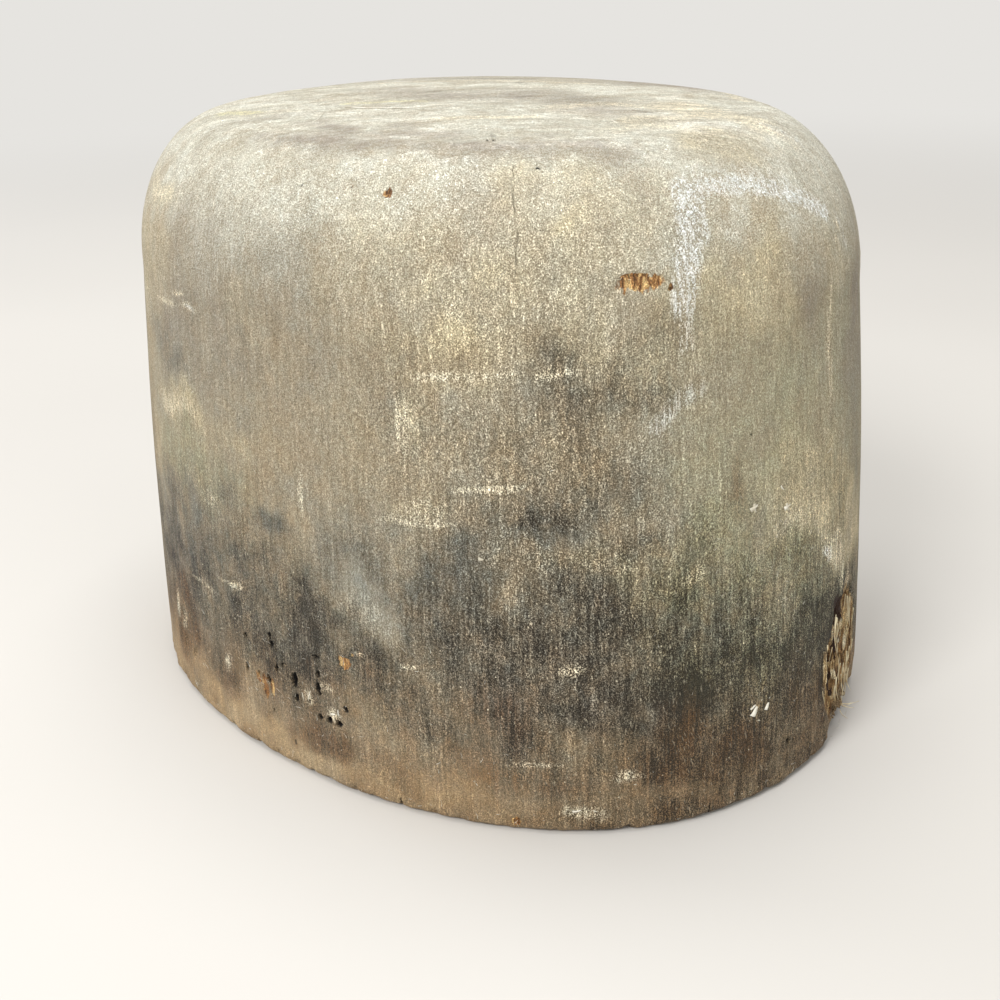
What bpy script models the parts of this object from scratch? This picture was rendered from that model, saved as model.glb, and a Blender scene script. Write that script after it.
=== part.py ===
# Hat block: a wooden crown block carved from one piece, with an iron socket plate let into its base.
# It stands on its base at the world origin, with its narrower front end towards +X and its crown up.

import math

import bmesh
import bpy
from mathutils import Vector

# Wooden block, in metres
BLOCK_LENGTH = 0.192  # front to back at the base
BLOCK_WIDTH = 0.157  # side to side at the base, halfway along
BLOCK_HEIGHT = 0.140  # base to the highest point of the crown
OVAL_FULLNESS = 2.19  # exponent of the oval: 2 is an ellipse, and more is squarer
FRONT_NARROWING = 0.049  # share of the width lost towards the front end and gained towards the back
WALL_LEAN = 0.0055  # how far each side leans in between the base and the shoulder
WALL_BULGE = 0.0009  # how far each side swells out halfway up
SHOULDER_HEIGHT = 0.0344  # height of the round between wall and crown
SHOULDER_REACH = 0.0213  # how far that round comes in over the top
CROWN_RISE = 0.0021  # height of the gentle dome over the top
BASE_EDGE_RADIUS = 0.0021  # worn round along the foot of the wall

# Torn place at the foot of the front end
TEAR_TURN = math.radians(14)  # where it lies round the oval, from +X towards +Y
TEAR_HEIGHT = 0.020  # its centre above the base
TEAR_LENGTH = 0.029  # along the fibres
TEAR_WIDTH = 0.019
TEAR_DEPTH = 0.0036

# Spindle that carries the block in use, and its socket
SPINDLE_DIAMETER = 0.0254
SPINDLE_CLEARANCE = 0.0004  # all round, in the plate
BORE_RELIEF = 0.001  # all round, in the wood
SOCKET_DEPTH = 0.065  # from the base

# Socket plate
PLATE_DIAMETER = 0.076
PLATE_THICKNESS = 0.0045
PLATE_SUNK = 0.0005  # how far its face lies above the base, so that the block stands on its wood
COLLAR_WALL = 0.0042
COLLAR_HEIGHT = 0.0125  # above the plate
FIT_GAP = 0.0003  # between neighbouring pieces
CUT_PAST = 0.002  # how far a cutter runs past the face that it opens

# Wood screws that hold the plate
SCREW_COUNT = 4
SCREW_CIRCLE_DIAMETER = 0.057
SCREW_LENGTH = 0.0254
SCREW_SHANK_DIAMETER = 0.0048
SCREW_HEAD_DIAMETER = 0.0092
SCREW_HEAD_EDGE = 0.0004  # upright rim of the head
SCREW_POINT_LENGTH = 0.006
SLOT_WIDTH = 0.0013
SLOT_DEPTH = 0.0013
SLOT_TURNS = (12, 64, 101, 158)  # degrees, how each screw's slot came to rest

OVAL_SEGMENTS = 96
BASE_EDGE_STEPS = 3
WALL_STEPS = 7
SHOULDER_STEPS = 10
CROWN_SHARES = (0.86, 0.7, 0.54, 0.38, 0.22, 0.08)
ROUND_SEGMENTS = 64
SCREW_SEGMENTS = 24

half_length = BLOCK_LENGTH / 2
half_width = BLOCK_WIDTH / 2
shoulder_start = BLOCK_HEIGHT - CROWN_RISE - SHOULDER_HEIGHT
plate_radius = PLATE_DIAMETER / 2
plate_bore_radius = SPINDLE_DIAMETER / 2 + SPINDLE_CLEARANCE
wood_bore_radius = SPINDLE_DIAMETER / 2 + BORE_RELIEF
collar_radius = plate_bore_radius + COLLAR_WALL
plate_top = PLATE_SUNK + PLATE_THICKNESS
collar_top = plate_top + COLLAR_HEIGHT
screw_head_height = (SCREW_HEAD_DIAMETER - SCREW_SHANK_DIAMETER) / 2


def make_collection(name):
    collection = bpy.data.collections.new(name)
    bpy.context.scene.collection.children.link(collection)
    return collection


def make_material(name, color, roughness, metallic):
    material = bpy.data.materials.new(name)
    material.use_nodes = True
    shader = material.node_tree.nodes["Principled BSDF"]
    shader.inputs["Base Color"].default_value = (*color, 1)
    shader.inputs["Roughness"].default_value = roughness
    shader.inputs["Metallic"].default_value = metallic
    return material


def add_object(name, mesh, collection, material=None):
    obj = bpy.data.objects.new(name, mesh)
    collection.objects.link(obj)
    if material:
        mesh.materials.append(material)
    return obj


def mesh_from(builder, name):
    bmesh.ops.recalc_face_normals(builder, faces=builder.faces)
    mesh = bpy.data.meshes.new(name)
    builder.to_mesh(mesh)
    builder.free()
    mesh.shade_smooth()
    mesh.set_sharp_from_angle(angle=math.radians(32))
    return mesh


def turned(name, profile, segments, collection, material=None):
    """A piece turned about Z from (radius, height) points that run down its outer side."""
    mesh = bpy.data.meshes.new(name)
    closed = profile[0][0] > 0
    edges = [(i, i + 1) for i in range(len(profile) - 1)]
    if closed:
        edges.append((len(profile) - 1, 0))
    mesh.from_pydata([(radius, 0, height) for radius, height in profile], edges, [])
    obj = add_object(name, mesh, collection, material)
    screw = obj.modifiers.new("Turn", "SCREW")
    screw.steps = segments
    screw.render_steps = segments
    screw.use_merge_vertices = True
    screw.merge_threshold = 0.00001
    return obj


def as_cutter(obj):
    obj.hide_render = True
    obj.display_type = "WIRE"
    return obj


def cut(obj, cutter):
    modifier = obj.modifiers.new(cutter.name, "BOOLEAN")
    modifier.operation = "DIFFERENCE"
    modifier.solver = "EXACT"
    modifier.object = cutter


def oval_point(turn):
    """A point of the base outline, where turn runs from +X towards +Y."""
    across = abs(math.cos(turn) / half_length) ** OVAL_FULLNESS
    along = abs(math.sin(turn) / half_width) ** OVAL_FULLNESS
    radius = (across + along) ** (-1 / OVAL_FULLNESS)
    x = radius * math.cos(turn)
    y = radius * math.sin(turn) * (1 - FRONT_NARROWING * x / half_length)
    return x, y


def wall_inset(height):
    """How far the side of the block has come in at a height of its wall."""
    share = height / shoulder_start
    return WALL_LEAN * share - 4 * WALL_BULGE * share * (1 - share)


def block_rings():
    """(height, inset) of each level of the block, from the foot of the wall to the crown."""
    rings = []
    for step in range(BASE_EDGE_STEPS):
        turn = math.pi / 2 * step / BASE_EDGE_STEPS
        rings.append((BASE_EDGE_RADIUS * (1 - math.cos(turn)), BASE_EDGE_RADIUS * (1 - math.sin(turn))))
    for step in range(WALL_STEPS):
        height = BASE_EDGE_RADIUS + (shoulder_start - BASE_EDGE_RADIUS) * step / (WALL_STEPS - 1)
        rings.append((height, wall_inset(height)))
    for step in range(1, SHOULDER_STEPS + 1):
        turn = math.pi / 2 * step / SHOULDER_STEPS
        inset = WALL_LEAN + SHOULDER_REACH * (1 - math.cos(turn))
        rings.append((shoulder_start + SHOULDER_HEIGHT * math.sin(turn), inset))
    top_inset = WALL_LEAN + SHOULDER_REACH
    for share in CROWN_SHARES:
        inset = half_width - (half_width - top_inset) * share
        rings.append((BLOCK_HEIGHT - CROWN_RISE * share**2, inset))
    return rings


def build_block_body(collection, material):
    """The oval is drawn once, then drawn up level by level, each one scaled to its inset."""
    builder = bmesh.new()
    outline = bmesh.ops.create_circle(builder, cap_ends=True, segments=OVAL_SEGMENTS, radius=1)["verts"]
    rings = block_rings()
    height, inset = rings[0]
    scale = 1 - inset / half_width
    for vert in outline:
        x, y = oval_point(math.atan2(vert.co.y, vert.co.x))
        vert.co = (x * scale, y * scale, height)
    edges = list(builder.edges)
    for next_height, next_inset in rings[1:]:
        grown = bmesh.ops.extrude_edge_only(builder, edges=edges)["geom"]
        verts = [item for item in grown if isinstance(item, bmesh.types.BMVert)]
        edges = [item for item in grown if isinstance(item, bmesh.types.BMEdge)]
        next_scale = 1 - next_inset / half_width
        ratio = next_scale / scale
        bmesh.ops.scale(builder, verts=verts, vec=(ratio, ratio, 1))
        bmesh.ops.translate(builder, verts=verts, vec=(0, 0, next_height - height))
        height, scale = next_height, next_scale
    bmesh.ops.contextual_create(builder, geom=edges)
    return add_object("block_body", mesh_from(builder, "block_body"), collection, material)


def round_cutter(name, radius, bottom, top, collection):
    builder = bmesh.new()
    bmesh.ops.create_cone(
        builder, cap_ends=True, segments=ROUND_SEGMENTS, radius1=radius, radius2=radius, depth=top - bottom
    )
    cutter = add_object(name, mesh_from(builder, name), collection)
    cutter.location.z = (top + bottom) / 2
    return as_cutter(cutter)


def tear_cutter(collection):
    """A long hollow torn out along the fibres, centred on the face of the wall."""
    x, y = oval_point(TEAR_TURN)
    scale = 1 - wall_inset(TEAR_HEIGHT) / half_width
    builder = bmesh.new()
    bmesh.ops.create_uvsphere(builder, u_segments=20, v_segments=12, radius=1)
    bmesh.ops.scale(builder, verts=builder.verts, vec=(TEAR_DEPTH, TEAR_WIDTH / 2, TEAR_LENGTH / 2))
    cutter = add_object("torn_place_cutter", mesh_from(builder, "torn_place_cutter"), collection)
    cutter.location = (x * scale, y * scale, TEAR_HEIGHT)
    cutter.rotation_euler.z = TEAR_TURN
    return as_cutter(cutter)


def screw_profile(grown, past_head):
    """Outline of a countersunk screw whose head face is at height 0, grown by a clearance."""
    shank = SCREW_SHANK_DIAMETER / 2 + grown
    head = SCREW_HEAD_DIAMETER / 2 + grown
    cone_start = SCREW_HEAD_EDGE
    cone_end = SCREW_HEAD_EDGE + screw_head_height
    tip = SCREW_LENGTH + grown
    return [
        (0, tip),
        (shank, tip - SCREW_POINT_LENGTH),
        (shank, cone_end),
        (head, cone_start),
        (head, -past_head),
        (0, -past_head),
    ]


def build_screw_mesh(collection, cutters, material):
    """One slotted screw with its head face down, made once and shared by all of them."""
    pattern = turned("screw_pattern", screw_profile(0, 0), SCREW_SEGMENTS, collection, material)
    builder = bmesh.new()
    bmesh.ops.create_cube(builder, size=1)
    size = (SCREW_HEAD_DIAMETER + CUT_PAST, SLOT_WIDTH, SLOT_DEPTH + CUT_PAST)
    bmesh.ops.scale(builder, verts=builder.verts, vec=size)
    slot = as_cutter(add_object("slot_cutter", mesh_from(builder, "slot_cutter"), cutters))
    slot.location.z = (SLOT_DEPTH - CUT_PAST) / 2
    cut(pattern, slot)
    bpy.context.view_layer.update()
    graph = bpy.context.evaluated_depsgraph_get()
    mesh = bpy.data.meshes.new_from_object(pattern.evaluated_get(graph))
    mesh.name = "plate_screw"
    mesh.shade_smooth()
    mesh.set_sharp_from_angle(angle=math.radians(32))
    bpy.data.objects.remove(pattern, do_unlink=True)
    bpy.data.objects.remove(slot, do_unlink=True)
    return mesh


def build_socket_plate(collection, material):
    """A round flange with a collar that stands up into the wood, bored through for the spindle."""
    profile = [
        (plate_bore_radius, collar_top),
        (collar_radius, collar_top),
        (collar_radius, plate_top),
        (plate_radius, plate_top),
        (plate_radius, PLATE_SUNK),
        (plate_bore_radius, PLATE_SUNK),
    ]
    return turned("socket_plate", profile, ROUND_SEGMENTS, collection, material)


def screw_places():
    for index in range(SCREW_COUNT):
        turn = 2 * math.pi * (index + 0.5) / SCREW_COUNT
        radius = SCREW_CIRCLE_DIAMETER / 2
        yield index, Vector((radius * math.cos(turn), radius * math.sin(turn), PLATE_SUNK))


def main():
    for obj in list(bpy.data.objects):
        bpy.data.objects.remove(obj, do_unlink=True)
    pieces = make_collection("hat_block")
    cutters = make_collection("hat_block_cutters")
    wood = make_material("bare_wood", (0.33, 0.28, 0.22), 0.78, 0.0)
    iron = make_material("cast_iron", (0.085, 0.070, 0.060), 0.62, 0.85)
    steel = make_material("screw_steel", (0.20, 0.17, 0.15), 0.48, 0.9)

    block = build_block_body(pieces, wood)
    plate = build_socket_plate(pieces, iron)
    cut(block, tear_cutter(cutters))
    recess_radius = plate_radius + FIT_GAP
    cut(block, round_cutter("plate_recess_cutter", recess_radius, -CUT_PAST, plate_top + FIT_GAP, cutters))
    collar_room = collar_radius + FIT_GAP
    cut(block, round_cutter("collar_room_cutter", collar_room, PLATE_SUNK, collar_top + FIT_GAP, cutters))
    cut(block, round_cutter("spindle_bore_cutter", wood_bore_radius, plate_top, SOCKET_DEPTH, cutters))

    screw_mesh = build_screw_mesh(pieces, cutters, steel)
    for index, place in screw_places():
        screw = add_object(f"plate_screw_{index + 1}", screw_mesh, pieces)
        screw.location = place
        screw.rotation_euler.z = math.radians(SLOT_TURNS[index % len(SLOT_TURNS)])
        hole_profile = screw_profile(FIT_GAP, CUT_PAST)
        hole = turned(f"screw_hole_cutter_{index + 1}", hole_profile, SCREW_SEGMENTS, cutters)
        hole.location = place
        as_cutter(hole)
        cut(plate, hole)
        cut(block, hole)


main()
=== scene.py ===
# Looks of a wooden hat block: carved limewood, long used and left bare, on an iron socket plate.

import math

import bmesh
import bpy
import numpy as np
from mathutils import Matrix, Vector, noise


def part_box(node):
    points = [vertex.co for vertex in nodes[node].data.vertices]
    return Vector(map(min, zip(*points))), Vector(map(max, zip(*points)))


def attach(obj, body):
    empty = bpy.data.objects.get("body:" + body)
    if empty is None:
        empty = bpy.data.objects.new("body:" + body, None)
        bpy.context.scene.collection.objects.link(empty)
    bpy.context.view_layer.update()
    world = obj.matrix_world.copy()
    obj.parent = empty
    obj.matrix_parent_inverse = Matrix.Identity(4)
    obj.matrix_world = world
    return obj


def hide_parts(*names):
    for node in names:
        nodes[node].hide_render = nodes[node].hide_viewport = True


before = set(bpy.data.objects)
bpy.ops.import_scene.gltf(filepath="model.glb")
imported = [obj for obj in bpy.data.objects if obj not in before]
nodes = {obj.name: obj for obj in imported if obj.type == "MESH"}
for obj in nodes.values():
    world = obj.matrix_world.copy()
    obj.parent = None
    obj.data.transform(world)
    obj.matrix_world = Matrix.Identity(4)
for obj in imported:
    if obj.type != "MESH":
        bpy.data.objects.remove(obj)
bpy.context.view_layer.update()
mm = 0.001
print("Frame loaded:", ", ".join(sorted(nodes)))


# Small helpers

def linearColour(hexText):
    channels = [int(hexText[i:i + 2], 16) / 255 for i in (1, 3, 5)]
    return [c / 12.92 if c <= 0.04045 else ((c + 0.055) / 1.055) ** 2.4 for c in channels] + [1.0]


def addNode(tree, kind, inputs=None, out=0, **settings):
    # inputs are named or numbered: a MapRange goes from 1 and 2 to 3 and 4, and a Mix lies between 2 and 3
    # or, for colours, between 6 and 7
    node = tree.nodes.new("ShaderNode" + kind)
    for name, value in settings.items():
        setattr(node, name, value)
    for socket, value in (inputs or {}).items():
        if isinstance(value, bpy.types.NodeSocket):
            tree.links.new(value, node.inputs[socket])
        else:
            node.inputs[socket].default_value = value
    return node.outputs[out]


rgba = {"out": 2, "data_type": "RGBA"}  # a colour mix's settings


def newMaterial(name, roughness, metallic=0.0):
    material = bpy.data.materials.new(name)
    material.use_nodes = True
    shader = material.node_tree.nodes["Principled BSDF"]
    shader.inputs["Roughness"].default_value = roughness
    shader.inputs["Metallic"].default_value = metallic
    return material, material.node_tree, shader


def smoothStep(low, high, value):
    share = np.clip((value - low) / (high - low), 0, 1)
    return share * share * (3 - 2 * share)


def noiseAt(points, cell, octaves=2):
    # smooth noise about zero, one cell per so many millimetres across, along and up
    spots = points / (np.array(cell) * mm)
    return np.array([noise.fractal(spot, 1.0, 2.0, octaves) for spot in spots])


def addPiece(name, builder, material, replaced=()):
    mesh = bpy.data.meshes.new(name)
    builder.to_mesh(mesh)
    builder.free()
    mesh.shade_smooth()
    mesh.materials.append(material)
    piece = bpy.data.objects.new(name, mesh)
    bpy.context.scene.collection.objects.link(piece)
    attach(piece, "root")
    if replaced:
        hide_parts(*replaced)
    return piece


# Camera, at the photograph's viewing angle

view = {
    "azimuth": 46.39,  # degrees round from the front
    "elevation": 18.71,
    "roll": -1.75,
    "distance": 328.1 * mm,  # from the middle of the block
    "lens": 46.76,
    "sensor": 36.0,
    "picture": 1000,  # pixels along each side
    "middleAcross": 494.1,  # pixel where the block's middle lies
    "middleDown": 383.9,
}


def placeCamera():
    azimuth = math.radians(view["azimuth"])
    elevation = math.radians(view["elevation"])
    away = Vector((
        math.sin(azimuth) * math.cos(elevation),
        -math.cos(azimuth) * math.cos(elevation),
        math.sin(elevation),
    ))
    focal = view["picture"] * view["lens"] / view["sensor"]
    across = (view["middleAcross"] - view["picture"] / 2) / focal
    up = (view["picture"] / 2 - view["middleDown"]) / focal
    look = away.to_track_quat("Z", "Y").to_matrix().to_4x4()
    look = look @ Matrix.Rotation(math.radians(view["roll"]), 4, "Z")
    look = look @ Matrix.Rotation(-math.atan(up / math.hypot(1, across)), 4, "X")
    look = look @ Matrix.Rotation(math.atan(across), 4, "Y")
    data = bpy.data.cameras.new("camera")
    data.lens = view["lens"]
    data.sensor_width = view["sensor"]
    data.clip_start = 0.01
    camera = bpy.data.objects.new("camera", data)
    middle = Vector((0, 0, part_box("block_body")[1].z / 2))
    camera.matrix_world = Matrix.Translation(middle + away * view["distance"]) @ look
    bpy.context.scene.collection.objects.link(camera)
    bpy.context.scene.camera = camera


placeCamera()
print("Camera placed")


# Stage and light

stage = {
    "floorSize": 12.0,  # metres along each side
    "floorColour": "#C4C1BC",
    "floorPale": "#CECBC6",
    "floorMottle": 1 / 3,  # metres from one pale patch of the floor to the next
    "backColour": "#E6E4E0",
    "fadeStart": 0.3,  # metres from the block where the floor starts to fade into the background
    "fadeEnd": 1.1,
    "worldStrength": 0.55,
    "lampAim": 0.07,  # height of the point on the block's axis that the lamps face
    "lamps": {
        # place, size and power in watts
        "key": ((0.22, -1.0, 1.02), 0.5, 13.8),
        "overhead": ((-0.05, 0.1, 1.3), 0.8, 9.6),
        "rightFill": ((1.2, -0.1, 0.6), 0.7, 3.4),
        "leftEdge": ((-1.1, -0.25, 0.8), 0.6, 4.6),
    },
}


def seenDirectly(tree):
    # 1 for the camera and in reflections, and 0 for the light that falls on things
    rays = tree.nodes.new("ShaderNodeLightPath")
    seen = addNode(tree, "Math", {0: rays.outputs["Is Camera Ray"], 1: rays.outputs["Is Glossy Ray"]},
                   operation="MAXIMUM")
    return addNode(tree, "Math", {0: seen, 1: rays.outputs["Is Transmission Ray"]}, operation="MAXIMUM")


def makeWorld():
    world = bpy.data.worlds.new("studio")
    world.use_nodes = True
    tree = world.node_tree
    strength = addNode(tree, "MapRange", {0: seenDirectly(tree), 3: stage["worldStrength"], 4: 1.0})
    back = tree.nodes["Background"]
    back.inputs["Color"].default_value = linearColour(stage["backColour"])
    tree.links.new(strength, back.inputs["Strength"])
    bpy.context.scene.world = world


def makePaper():
    # pale paper that fades into the background far from the block
    paper, tree, shader = newMaterial("paleStudioPaper", 0.9)
    place = addNode(tree, "TexCoord", out="Object")
    fleck = addNode(tree, "TexNoise", {"Vector": place, "Scale": 1 / stage["floorMottle"]})
    tone = addNode(tree, "Mix", {
        0: fleck, 6: linearColour(stage["floorColour"]), 7: linearColour(stage["floorPale"]),
    }, **rgba)
    tree.links.new(tone, shader.inputs["Base Color"])
    far = addNode(tree, "VectorMath", {0: place}, out="Value", operation="LENGTH")
    fade = addNode(tree, "MapRange", {0: far, 1: stage["fadeStart"], 2: stage["fadeEnd"]},
                   interpolation_type="SMOOTHSTEP")
    fade = addNode(tree, "Math", {0: fade, 1: seenDirectly(tree)}, operation="MULTIPLY")
    glow = addNode(tree, "Emission", {"Color": linearColour(stage["backColour"])})
    mixed = addNode(tree, "MixShader", {0: fade, 1: shader.outputs[0], 2: glow})
    tree.links.new(mixed, tree.nodes["Material Output"].inputs["Surface"])
    return paper


def layFloor(paper):
    builder = bmesh.new()
    bmesh.ops.create_grid(builder, x_segments=4, y_segments=4, size=stage["floorSize"] / 2)
    mesh = bpy.data.meshes.new("floor")
    builder.to_mesh(mesh)
    builder.free()
    mesh.materials.append(paper)
    floor = bpy.data.objects.new("floor", mesh)
    bpy.context.scene.collection.objects.link(floor)


def placeLamps():
    aim = Vector((0, 0, stage["lampAim"]))
    for name, (place, size, power) in stage["lamps"].items():
        data = bpy.data.lights.new(name, "AREA")
        data.size = size
        data.energy = power
        lamp = bpy.data.objects.new(name, data)
        lamp.location = place
        lamp.rotation_euler = (Vector(place) - aim).to_track_quat("Z", "Y").to_euler()
        bpy.context.scene.collection.objects.link(lamp)


makeWorld()
layFloor(makePaper())
placeLamps()
bpy.context.scene.view_settings.view_transform = "Standard"
print("Stage and lamps set")


# Wooden block: its shape

blockLow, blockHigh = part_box("block_body")
plateLow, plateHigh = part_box("socket_plate")
block = {
    "length": blockHigh.x - blockLow.x,
    "width": (blockHigh.y - blockLow.y) * 0.9987,  # halfway along, a hair under the widest place
    "height": blockHigh.z,
    "ovalFullness": 2.19,  # 2 is an ellipse, and more is squarer
    "frontNarrowing": 0.049,
    "wallLean": 5.5 * mm,
    "wallBulge": 0.9 * mm,
    "shoulderHeight": 34.4 * mm,
    "shoulderReach": 21.3 * mm,
    "crownRise": 2.1 * mm,
    "footRound": 2.1 * mm,  # worn round along the base
    "fitGap": 0.3 * mm,  # between wood and iron
    "flatBase": 0.93,  # size of the first ring of the flat base, next to the foot's inner edge
    "plateThickness": 4.5 * mm,
    "collarRadius": 17.3 * mm,
    "boreRadius": 13.7 * mm,
    "boreDepth": 65 * mm,
    "face": 1.73 * mm,  # side of one face of the mesh, before it is cut finer
    "crownFace": 2.6 * mm,
    "ringSegments": 128,
}
offSide = -50  # stands for the place up the side at points that lie on the base or in the bore
roundSteps = 60  # points of the profile along each round
wallSteps = 90
turnSteps = 2881  # points round the oval
wallTop = block["height"] - block["crownRise"] - block["shoulderHeight"]
halfLength = block["length"] / 2
halfWidth = block["width"] / 2


def ovalPoint(turn):
    fullness = block["ovalFullness"]
    radius = (np.abs(np.cos(turn) / halfLength) ** fullness
              + np.abs(np.sin(turn) / halfWidth) ** fullness) ** (-1 / fullness)
    x = radius * np.cos(turn)
    return x, radius * np.sin(turn) * (1 - block["frontNarrowing"] * x / halfLength)


def sideProfile():
    # height and inset of the side, from the flat of the base up to the middle of the crown
    lap = np.linspace(0, math.pi / 2, roundSteps)
    foot = block["footRound"]
    heights = [foot * (1 - np.cos(lap))]
    insets = [foot * (1 - np.sin(lap))]
    height = np.linspace(foot, wallTop, wallSteps)[1:]
    share = height / wallTop
    heights.append(height)
    insets.append(block["wallLean"] * share - 4 * block["wallBulge"] * share * (1 - share))
    heights.append(wallTop + block["shoulderHeight"] * np.sin(lap[1:]))
    insets.append(block["wallLean"] + block["shoulderReach"] * (1 - np.cos(lap[1:])))
    share = np.linspace(1, 0, roundSteps)[1:]
    topInset = block["wallLean"] + block["shoulderReach"]
    heights.append(block["height"] - block["crownRise"] * share**2)
    insets.append(halfWidth - (halfWidth - topInset) * share)
    heights, insets = np.concatenate(heights), np.concatenate(insets)
    climb = np.concatenate([[0], np.cumsum(np.hypot(np.diff(heights), np.diff(insets)))])
    climb += foot - np.interp(foot, heights, climb)  # so that the climb is the height, low on the wall
    return climb, heights, insets


climbs, climbHeights, climbInsets = sideProfile()
# taken just under the shoulder's top, where the profile still climbs
shoulderTop = float(np.interp(wallTop + block["shoulderHeight"] * 0.9999, climbHeights, climbs))
turns = np.linspace(-math.pi, math.pi, turnSteps)
ovalX, ovalY = ovalPoint(turns)
arcs = np.concatenate([[0], np.cumsum(np.hypot(np.diff(ovalX), np.diff(ovalY)))])
girth = arcs[-1]
arcs -= girth / 2  # nought at the front end, and growing towards +Y


def rolledUp(across, climb):
    x, y = ovalPoint(np.interp(across, arcs, turns))
    scale = 1 - np.interp(climb, climbs, climbInsets) / halfWidth
    return np.stack([x * scale, y * scale, np.interp(climb, climbs, climbHeights)], -1)


# Wooden block: its wear. Places are millimetres across from the front end and up the side.

tackHoles = {
    # across, up, half-width, half-height
    "topLeft": (-141.1, 29.2, 0.5, 0.7),
    "upper": (-132.0, 32.2, 0.55, 0.85),
    "upperLow": (-131.5, 30.4, 0.65, 0.8),
    "left": (-141.4, 20.9, 0.59, 1.01),
    "overTear": (-137.0, 20.9, 0.54, 0.46),
    "besideTear": (-133.6, 20.8, 0.45, 1.01),
    "large": (-124.3, 24.0, 0.72, 1.75),
    "underLarge": (-124.0, 19.5, 0.54, 0.92),
    "cornerSlit": (-117.0, 32.0, 1.08, 0.32),
    "rightHigh": (-116.7, 27.9, 0.45, 0.74),
    "rightMid": (-117.1, 24.3, 0.59, 1.29),
    "rightMidLow": (-116.5, 23.1, 0.36, 0.55),
    "white": (-120.0, 19.9, 0.36, 0.46),
    "lowLeft": (-116.9, 17.0, 0.54, 0.64),
    "lowMid": (-114.2, 17.1, 0.63, 0.78),
    "lowRight": (-111.6, 17.0, 0.77, 0.78),
    "lastRight": (-109.3, 21.3, 0.59, 0.74),
    "lone": (-132.4, 13.0, 0.27, 0.41),
    "short": (-130.2, 24.7, 0.45, 0.8),
    "faint": (-128.1, 26.3, 0.36, 0.5),
    "foot": (-5.6, 10.8, 0.45, 0.55),
    "dotOne": (-1.2, 75.8, 0.23, 0.28),
    "dotTwo": (-17.8, 84.0, 0.20, 0.23),
    "farOne": (96.0, 27.0, 0.45, 0.74),
    "farTwo": (102.5, 22.0, 0.41, 1.01),
    "farThree": (108.0, 28.5, 0.45, 0.64),
    "farFour": (111.0, 19.0, 0.54, 0.83),
    "farFive": (118.5, 24.5, 0.41, 0.64),
    "backOne": (231.0, 18.0, 0.45, 0.83),
    "backTwo": (238.0, 23.5, 0.41, 0.74),
}

marks = {
    # across, up, half-width, half-height, lean in degrees, depth, opened wood, darkness
    "scrape": (-41.8, 115.9, 6.6, 2.0, 2, 0.3, 1.0, 0.0),
    "scrapeTop": (-43.0, 117.3, 4.4, 0.5, 2, 0.25, 0.9, 0.3),
    "scrapeEnd": (-35.6, 114.8, 0.8, 0.8, 0, 0.3, 0.9, 0.3),
    "shoulderChip": (-95.8, 132.1, 1.4, 1.3, 0, 0.4, 1.0, 0.12),
    "shoulderNick": (-121.2, 132.0, 1.5, 0.6, 35, 0.4, 0.2, 0.5),
    "smallNick": (-105.6, 132.8, 0.7, 0.5, 30, 0.3, 0.4, 0.35),
    "orangeChip": (-109.0, 33.0, 2.2, 1.9, 0, 0.4, 1.0, 0.0),
    "orangeSpeck": (-106.6, 35.5, 0.6, 0.6, 0, 0.2, 0.5, 0.0),
    "tackTear": (-135.0, 18.4, 1.3, 4.4, 4, 0.35, 0.85, 0.1),
    "tackTearRight": (-132.4, 18.9, 1.1, 3.4, 0, 0.4, 0.7, 0.25),
    "tackTearLeft": (-137.4, 19.9, 1.5, 2.2, 12, 0.3, 0.7, 0.1),
    "twinHoleLeft": (-71.2, 149.0, 0.6, 0.9, 0, 0.9, 0.0, 0.9),
    "twinHoleRight": (-69.4, 149.2, 0.6, 1.0, 0, 0.9, 0.0, 0.9),
    "slit": (-59.8, 138.6, 0.35, 1.3, -20, 0.4, 0.0, 0.6),
    "redNick": (-69.8, 2.4, 1.5, 1.3, 0, 0.5, 0.9, 0.25),
    "footChipOne": (-57.5, 5.2, 1.8, 1.2, 10, 0.4, 0.0, 0.0),
    "footChipTwo": (-53.6, 4.4, 1.6, 1.1, -10, 0.4, 0.0, 0.0),
    "footChipThree": (-60.4, 3.6, 1.1, 1.0, 0, 0.35, 0.0, 0.0),
    "footSpot": (-126.0, 7.0, 0.9, 0.9, 0, 0.3, 0.0, 0.45),
    "leftFlake": (-158.0, 101.7, 4.0, 0.9, -4, 0.35, 0.0, 0.0),
    "yellowFlake": (-144.2, 41.0, 3.2, 1.2, 0, 0.4, 0.0, 0.0),
    "darkPit": (-59.8, 25.8, 2.0, 1.0, 0, 0.15, 0.0, 0.2),
    "splinterLong": (-2.5, 21.6, 0.5, 4.6, 3, -0.25, 0.0, 0.0),
    "splinterNearTear": (8.2, 19.0, 0.5, 6.5, 2, -0.25, 0.0, 0.0),
    "underLineFlake": (-93.0, 36.0, 2.4, 0.6, 3, 0.2, 0.0, 0.0),
    "lineB": (-61.0, 99.6, 3.8, 1.0, 6, 0.2, 0.0, 0.0),
    "lineC": (-70.0, 77.6, 6.0, 0.9, 4, 0.2, 0.0, 0.0),
    "leftHollow": (-171.0, 17.5, 8.0, 11.0, -32, 1.0, 0.0, 0.05),
    "cornerWorn": (27.0, -1.0, 18.0, 15.0, 0, 3.0, 0.0, 0.0),
    "backDent": (150.0, 61.0, 9.0, 6.0, 20, 0.6, 0.0, 0.1),
    "backScrape": (178.0, 96.0, 7.0, 1.4, 8, 0.35, 0.8, 0.1),
    "farNick": (84.0, 128.0, 1.3, 1.0, 0, 0.5, 0.8, 0.3),
    "backFlake": (-232.0, 57.0, 4.0, 0.9, 5, 0.3, 0.3, 0.0),
}

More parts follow.
